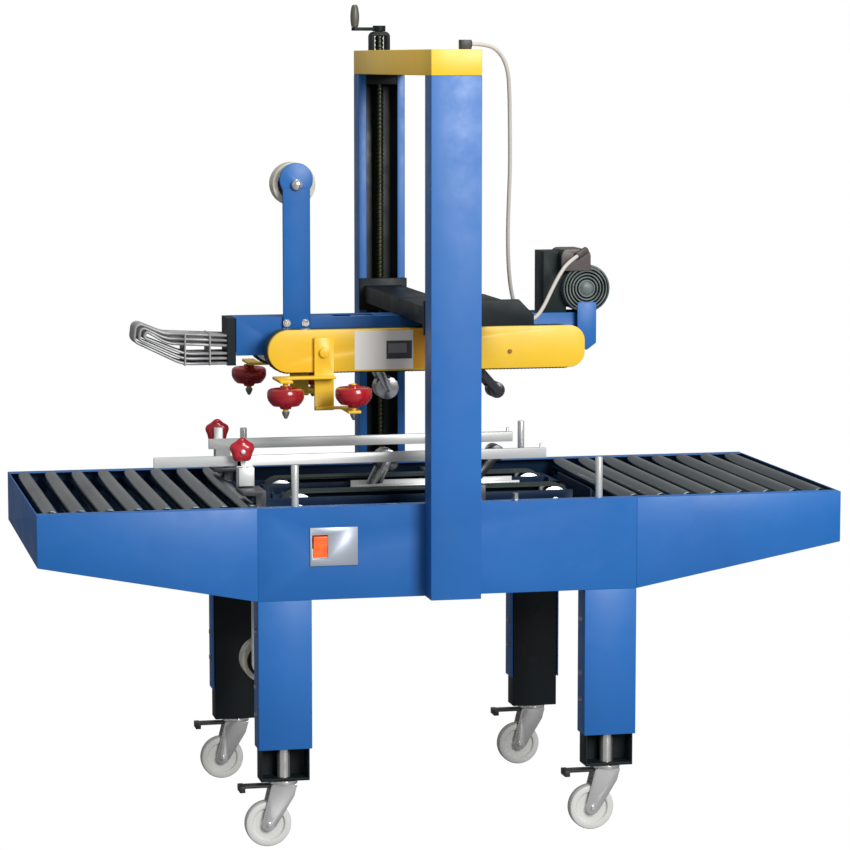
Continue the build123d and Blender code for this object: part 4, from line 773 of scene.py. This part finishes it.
for side, outward in (("near", -1), ("far", 1)):
    rail = eased(f"{side}_guide_rail", 0.0012, rail_zinc, body=f"{side}_rail")
    second_finish(rail, dark_zinc, lambda centre, normal: centre.z < PANEL_TOP + 0.0225)
    low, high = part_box(f"{side}_rail_knob")
    inner_y = high.y if outward < 0 else low.y
    centre = Vector(((low.x + high.x) / 2, inner_y, (low.z + high.z) / 2))
    knob = add_piece(f"{side}_lobed_knob", lobed_knob(centre, outward, (high.x - low.x) / 2,
                                                      high.y - low.y), knob_red)
    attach(knob, f"{side}_knob")
    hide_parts(f"{side}_rail_knob")

# ---- Power switch ----
# A satin alloy plate with a lit orange-red rocker; the other half of it is blank.
plate_alloy = finish("satin_alloy_plate", (0.42, 0.46, 0.52), (0.36, 0.40, 0.47), 0.3, 0.45, metallic=0.35,
                     grain=900.0)
rocker_orange = finish("lit_orange_rocker", (0.90, 0.16, 0.03), (0.75, 0.09, 0.02), 0.2, 0.35, glow=0.35,
                       patch=40.0)
eased("switch_plate", 0.0010, plate_alloy)
eased("power_rocker", 0.0012, rocker_orange, body="rocker", segments=3)

# ---- Tape heads ----
# Zinc side plates with two sprung arms each, and knurled taping rollers.
eased("lower_tape_frame", 0.0006, rail_zinc)
eased("upper_tape_frame", 0.0006, rail_zinc, body="head")
arm_steel = finish("dark_arm_steel", (0.10, 0.10, 0.11), (0.07, 0.07, 0.08), 0.25, 0.4, metallic=0.8)
for where in ("upper", "lower"):
    for end in ("front", "rear"):
        eased(f"{where}_{end}_roller_arm", 0.0008, machined if end == "front" else arm_steel,
              body=f"{where}_{end}_arm")

# ---- Carriage beam ----
# The black cross beam between the columns with its slider plates.
eased("carriage_beam", 0.0014, black_paint, body="head")

# ---- Head body ----
# The central blue box of the head; its stand-offs carry the belt guards.
eased("head_body", 0.0010, blue_paint, body="head")

# ---- Belt guards ----
# Shallow yellow trays with a round nose, a blank white label and a grey plate.
label_white = finish("white_label_film", (0.88, 0.87, 0.82), (0.84, 0.83, 0.79), 0.3, 0.4, grain=1200.0)
label_grey = finish("dark_grey_plate", (0.05, 0.055, 0.07), (0.09, 0.09, 0.11), 0.25, 0.4)
label_mid = finish("mid_grey_plate_film", (0.24, 0.245, 0.25), (0.20, 0.205, 0.21), 0.25, 0.4)
label_amber = finish("amber_guard_band", (0.90, 0.42, 0.020), (0.86, 0.38, 0.016), 0.3, 0.44)
for node in ("near_belt_guard", "far_belt_guard"):
    eased(node, 0.0014, yellow_paint, body="head", segments=3)


def sticker(name, corners, y, thick, material):
    """A thin flat piece on the operator's guard, from its corners in X and Z."""
    work = bmesh.new()
    front = [work.verts.new((x, y - thick, z)) for x, z in corners]
    back = [work.verts.new((x, y, z)) for x, z in corners]
    work.faces.new(front)
    work.faces.new(list(reversed(back)))
    count = len(corners)
    for k in range(count):
        work.faces.new((front[k], back[k], back[(k + 1) % count], front[(k + 1) % count]))
    bmesh.ops.recalc_face_normals(work, faces=work.faces)
    mesh = bpy.data.meshes.new(name)
    work.to_mesh(mesh)
    work.free()
    piece = add_piece(name, mesh, material)
    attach(piece, "head")
    return piece


guard_low, guard_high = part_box("near_belt_guard")
face_y = guard_low.y
mid_z = (guard_low.z + guard_high.z) / 2
tall = (guard_high.z - guard_low.z) / 2 - 0.004
sticker("guard_label", [(-0.166, mid_z - tall), (-0.035, mid_z - tall), (-0.035, mid_z + tall),
                        (-0.166, mid_z + tall)],
        face_y, 0.0003, label_white)
sticker("guard_label_edge", [(-0.035, mid_z - tall), (-0.004, mid_z - tall), (-0.004, mid_z + tall),
                             (-0.035, mid_z + tall)],
        face_y, 0.0002, label_amber)
sticker("guard_plate", [(-0.095, mid_z - 0.020), (-0.038, mid_z - 0.020), (-0.038, mid_z + 0.020),
                        (-0.095, mid_z + 0.020)],
        face_y - 0.0003, 0.0006, label_grey)
sticker("guard_plate_band", [(-0.091, mid_z - 0.007), (-0.050, mid_z - 0.007), (-0.050, mid_z + 0.014),
                             (-0.091, mid_z + 0.014)],
        face_y - 0.0009, 0.0002, label_mid)
rust_zinc = finish("tarnished_guard_bolts", (0.24, 0.10, 0.020), (0.32, 0.17, 0.030), 0.35, 0.5,
                   metallic=0.4)
guard_bolts = []
for x, z in ((-0.238, mid_z + 0.013), (0.184, mid_z - 0.009)):
    guard_bolts += [((x, face_y, z), (0.0, -1.0, 0.0)), ((x, -face_y, z), (0.0, 1.0, 0.0))]
bolts("guard_bolts", guard_bolts, "head", rust_zinc, head=0.0040, height=0.0028, washer=0.0052)

# ---- Squeeze arms and rollers ----
# Yellow sliding plates with red rubber rollers that press the carton's flaps down.
roller_red = finish("red_squeeze_rubber", (0.50, 0.010, 0.020), (0.30, 0.006, 0.012), 0.16, 0.28, coat=0.5)
for side in ("near", "far"):
    eased(f"{side}_squeeze_arm", 0.0010, yellow_paint, body=f"{side}_squeeze")
    for end in ("front", "rear"):
        node = f"{side}_{end}_squeeze_roller"
        low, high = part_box(node)
        centre = (low + high) / 2
        radius = (high.x - low.x) / 2
        half = (high.z - low.z) / 2 - 0.006
        outline = [(0.0061, -half - 0.006), (0.011, -half - 0.006), (0.012, -half - 0.004), (0.014, -half),
                   (0.028, -half + 0.001), (radius - 0.007, -half + 0.006), (radius - 0.002, -half + 0.013),
                   (radius, -half + 0.019), (radius, half - 0.008), (radius - 0.002, half - 0.003),
                   (radius - 0.007, half), (0.026, half), (0.024, half - 0.002), (0.014, half - 0.002),
                   (0.012, half + 0.004), (0.011, half + 0.006), (0.0061, half + 0.006)]
        outline.append(outline[0])
        wheel = add_piece(f"{side}_{end}_red_roller", lathe(outline, centre, "Z", 64), roller_red)
        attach(wheel, f"{side}_{end}_roller")
        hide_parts(node)
        tip = [(0.0, -0.016), (0.003, -0.015), (0.0075, -0.006), (0.0085, 0.0), (0.0, 0.0)]
        nut_z = low.z - (0.0055 if end == "front" else 0.012)
        nut = add_piece(f"{side}_{end}_axle_nut", lathe(tip, (centre.x, centre.y, nut_z), "Z", 24),
                        bolt_zinc)
        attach(nut, f"{side}_squeeze")

# ---- Upper gearmotor ----
# Finned motor with a fan cowl facing the operator, a gearbox and a terminal box.
gear_black = finish("black_gearbox_paint", (0.012, 0.018, 0.019), (0.014, 0.024, 0.024), 0.4, 0.6,
                    grain=500.0, bump=0.4, depth=0.0004, shine=0.2)
lid_brown = finish("brown_grey_terminal_lid", (0.075, 0.060, 0.055), (0.12, 0.10, 0.095), 0.3, 0.5,
                   patch=20.0)
cowl_grey = finish("grey_green_cowl", (0.085, 0.115, 0.110), (0.050, 0.075, 0.072), 0.35, 0.55, patch=25.0,
                   grain=700.0)
COWL_RADIUS = 0.054
MOTOR_RISE = 0.055
body_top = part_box("head_body")[1].z - 0.024
motor_low, motor_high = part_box("upper_gearmotor")
motor_x = motor_high.x - COWL_RADIUS
motor_z = body_top + MOTOR_RISE
cowl_y = -0.062
motor = eased("upper_gearmotor", 0.0012, gear_black, body="head")
second_finish(motor, cowl_grey, lambda centre, normal: centre.y < -0.0135
              and Vector((centre.x - motor_x, centre.z - motor_z)).length < COWL_RADIUS + 0.0005)
second_finish(motor, lid_brown, lambda centre, normal: centre.z > motor_z + 0.038 and centre.y < 0.031
              and Vector((centre.x - motor_x, centre.z - motor_z)).length > COWL_RADIUS + 0.0005
              and centre.x > motor_low.x + 0.058)
grille = [(0.0, -0.0045), (0.009, -0.0045), (0.012, -0.003)]
for ring in (0.018, 0.025, 0.032, 0.039, 0.046):
    grille += [(ring - 0.0022, 0.0), (ring - 0.0010, -0.0028), (ring + 0.0010, -0.0028), (ring + 0.0022,
                                                                                          0.0)]
grille += [(0.0505, 0.0), (0.0505, 0.0015), (0.0, 0.0015)]
cowl_light = finish("worn_cowl_grille", (0.20, 0.24, 0.23), (0.070, 0.095, 0.092), 0.3, 0.5, patch=30.0)
fan_grille = add_piece("fan_grille", lathe(grille, (motor_x, cowl_y, motor_z), "Y", 56), cowl_light)
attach(fan_grille, "head")


def cooling_fins(low_y, high_y, pitch, inner, outer):
    """Thin rings round the motor, as turned fins."""
    rings = []
    y = low_y
    while y < high_y:
        ring = [(inner, 0.0), (outer, 0.0005), (outer, 0.0025), (inner, 0.003), (inner, 0.0)]
        rings.append(lathe(ring, (motor_x, y, motor_z), "Y", 56))
        y += pitch
    return merged(rings)


fins = add_piece("motor_fins", cooling_fins(-0.010, 0.100, 0.009, 0.0485, 0.0525), motor_paint)
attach(fins, "head")

# ---- Tape arm and rolls ----
# A blue flat bar with a round top holds the tape roll; another hangs below the bed.
tape_film = finish("wound_tape_edge", (0.80, 0.77, 0.66), (0.70, 0.66, 0.54), 0.25, 0.4, patch=60.0,
                   grain=1600.0)
core_card = finish("black_tape_core", (0.020, 0.020, 0.022), (0.035, 0.034, 0.034), 0.45, 0.6)
eased("tape_arm", 0.0012, blue_paint, body="head")
arm_low, arm_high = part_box("tape_arm")
arm_x = (arm_low.x + arm_high.x) / 2
roll_low, roll_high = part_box("upper_tape_roll")
axle_z = (roll_low.z + roll_high.z) / 2
axle_cap = [(0.0, -0.0085), (0.007, -0.008), (0.0115, -0.005), (0.0125, 0.0), (0.0125, 0.006), (0.0, 0.006)]
cap = add_piece("tape_axle_cap", lathe(axle_cap, (arm_x, arm_low.y, axle_z), "Y", 32), bright_chrome)
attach(cap, "head")
foot_bolts = [((arm_x + dx, arm_low.y + 0.006, arm_low.z + 0.038), (0.0, -1.0, 0.0)) for dx in (-0.023,
                                                                                                0.019)]
bolts("tape_arm_screws", foot_bolts, "head", bright_chrome, head=0.0066, height=0.0045, washer=0.0085)
for node, body in (("upper_tape_roll", "upper_roll"), ("lower_tape_roll", "lower_roll")):
    low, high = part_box(node)
    centre = (low + high) / 2
    radius = (high.z - low.z) / 2
    half = (high.y - low.y) / 2
    core = 0.037
    winding = [(core, -half), (radius - 0.001, -half), (radius, -half + 0.001), (radius, half - 0.001),
               (radius - 0.001, half), (core, half), (core, -half)]
    piece = add_piece(node + "_winding", lathe(winding, centre, "Y", 72), tape_film)
    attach(piece, body)
    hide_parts(node)
    hub = [(0.0081, -half), (0.013, -half - 0.0), (0.014, -half + 0.004), (0.030, -half + 0.006), (0.033,
            -half + 0.001),
           (core - 0.0003, -half + 0.0005), (core - 0.0003, half - 0.0005), (0.033, half - 0.001), (0.030,
                   half - 0.006),
           (0.014, half - 0.004), (0.013, half), (0.0081, half), (0.0081, -half)]
    piece = add_piece(node + "_hub", lathe(hub, centre, "Y", 48), core_card)
    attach(piece, body)

# ---- Infeed ski ----
# Hairpin rods of bright steel that press the front flaps down.
ski_steel = finish("dull_ski_steel", (0.46, 0.46, 0.465), (0.30, 0.30, 0.305), 0.35, 0.55, metallic=0.4,
                   patch=40.0)
ski = eased("infeed_ski", 0.0002, ski_steel, body="head", segments=1)
SKI_FOOT_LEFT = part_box("head_body")[0].x - 0.0195
second_finish(ski, black_paint, lambda centre, normal: centre.x > SKI_FOOT_LEFT)

# ---- Head cable ----
# A light grey ribbed conduit from the bridge's gland to the motor's, hanging free.
conduit_grey = finish("grey_conduit_plastic", (0.62, 0.58, 0.53), (0.50, 0.47, 0.43), 0.4, 0.55,
                      grain=800.0)
CABLE_DIAMETER = 0.009
CABLE_ROUTE = [
    (0.044, -0.372, 1.717), (0.078, -0.372, 1.717), (0.107, -0.371, 1.700), (0.125, -0.366, 1.664),
    (0.131, -0.355, 1.612), (0.136, -0.339, 1.540), (0.141, -0.322, 1.455), (0.143, -0.300, 1.372),
    (0.147, -0.277, 1.290), (0.159, -0.243, 1.211), (0.177, -0.208, 1.157), (0.198, -0.177, 1.124),
    (0.223, -0.154, 1.109), (0.249, -0.138, 1.117), (0.269, -0.127, 1.142), (0.287, -0.117, 1.174),
    (0.307, -0.107, 1.206), (0.329, -0.096, 1.233), (0.356, -0.080, 1.247),
]


def smooth_line(points):
    """Close points along one smooth curve that the given points steer."""
    data = bpy.data.curves.new("route", "CURVE")
    data.dimensions = "3D"
    data.resolution_u = 12
    spline = data.splines.new("NURBS")
    spline.points.add(len(points) - 1)
    for point, place in zip(spline.points, points):
        point.co = (*place, 1.0)
    spline.order_u = 3
    spline.use_endpoint_u = True
    route = bpy.data.objects.new("route", data)
    scene.collection.objects.link(route)
    view = bpy.context.evaluated_depsgraph_get()
    mesh = bpy.data.meshes.new_from_object(route.evaluated_get(view))
    line = [vert.co.copy() for vert in mesh.vertices]
    bpy.data.objects.remove(route)
    bpy.data.meshes.remove(mesh)
    return line


def ribbed_tube(line, radius, rib):
    """A tube along a line whose wall rises and falls at each rib."""
    marks = [0.0]
    for first, second in zip(line, line[1:]):
        marks.append(marks[-1] + (second - first).length)
    rows = int(marks[-1] / (rib / 4))
    sides = 16
    work = bmesh.new()
    rings = []
    spot = 0
    side = Vector((0.0, 1.0, 0.0))
    for row in range(rows + 1):
        along = marks[-1] * row / rows
        while spot < len(marks) - 2 and marks[spot + 1] < along:
            spot += 1
        share = (along - marks[spot]) / (marks[spot + 1] - marks[spot])
        centre = line[spot].lerp(line[spot + 1], share)
        ahead = (line[spot + 1] - line[spot]).normalized()
        side = (side - ahead * side.dot(ahead)).normalized()
        up = ahead.cross(side)
        r = radius * (1.0 if row % 4 < 2 else 0.90)
        ring = []
        for k in range(sides):
            angle = 2 * math.pi * k / sides
            ring.append(work.verts.new(centre + side * r * math.cos(angle) + up * r * math.sin(angle)))
        rings.append(ring)
    for first, second in zip(rings, rings[1:]):
        for k in range(sides):
            work.faces.new((first[k], first[(k + 1) % sides], second[(k + 1) % sides], second[k]))
    work.faces.new(list(reversed(rings[0])))
    work.faces.new(rings[-1])
    bmesh.ops.recalc_face_normals(work, faces=work.faces)
    mesh = bpy.data.meshes.new("conduit")
    work.to_mesh(mesh)
    work.free()
    shade(mesh)
    return mesh


cable_line = smooth_line(CABLE_ROUTE)
cable_mesh = ribbed_tube(cable_line, CABLE_DIAMETER / 2, 0.004)
cable = add_piece("motor_conduit", cable_mesh, conduit_grey)
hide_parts("head_cable")
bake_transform(cable)

# ---- Floor and light ----
# The machine stands on a grey studio floor, out of sight, before a white wall. A
# large soft light comes from the outfeed side of the operator; the left stays dim.
# A narrow spot reaches only the yellow bridge.
floor_mesh = bpy.data.meshes.new("floor")
floor_mesh.from_pydata([(-9, -9, 0), (9, -9, 0), (9, 30, 0), (-9, 30, 0)], [], [(0, 1, 2, 3)])
floor_grey = finish("studio_floor", (0.30, 0.30, 0.31), (0.27, 0.27, 0.28), 0.6, 0.7, grain=60.0, bump=0.0)
floor = add_piece("floor", floor_mesh, floor_grey)
floor.visible_camera = False
world = bpy.data.worlds.new("studio")
scene.world = world
world.use_nodes = True
sky = world.node_tree
seen = sky.nodes.new("ShaderNodeLightPath")
level = sky.nodes.new("ShaderNodeMapRange")
level.inputs["To Min"].default_value = 0.32
level.inputs["To Max"].default_value = 1.0
link(sky, seen.outputs["Is Camera Ray"], level.inputs["Value"])
sky.nodes["Background"].inputs["Color"].default_value = (1.0, 1.0, 1.0, 1.0)
link(sky, level.outputs["Result"], sky.nodes["Background"].inputs["Strength"])


def soft_light(name, place, target, size, power):
    data = bpy.data.lights.new(name, "AREA")
    data.shape = "RECTANGLE"
    data.size, data.size_y = size
    data.energy = power
    lamp = bpy.data.objects.new(name, data)
    scene.collection.objects.link(lamp)
    lamp.location = place
    lamp.rotation_euler = (Vector(target) - Vector(place)).to_track_quat("-Z", "Y").to_euler()
    return lamp


soft_light("front_softbox", (1.6, -5.2, 3.0), (0.1, 0.0, 0.9), (2.2, 2.2), 275.0)
soft_light("top_panel", (0.3, -0.6, 4.2), (0.0, 0.0, 0.7), (2.6, 1.6), 45.0)
kicker_data = bpy.data.lights.new("bridge_kicker", "SPOT")
kicker_data.energy = 90.0
kicker_data.spot_size = math.radians(14.0)
kicker_data.spot_blend = 0.3
kicker_data.shadow_soft_size = 0.15
kicker = bpy.data.objects.new("bridge_kicker", kicker_data)
scene.collection.objects.link(kicker)
kicker.location = (-3.0, -1.2, 2.5)
kicker.rotation_euler = (Vector((0.0, 0.0, 1.70)) - kicker.location).to_track_quat("-Z", "Y").to_euler()
bridge_only = bpy.data.collections.new("bridge_only")
for piece in [item for item in scene.objects if item.name.startswith("bridge_cover")]:
    bridge_only.objects.link(piece)
kicker.light_linking.receiver_collection = bridge_only
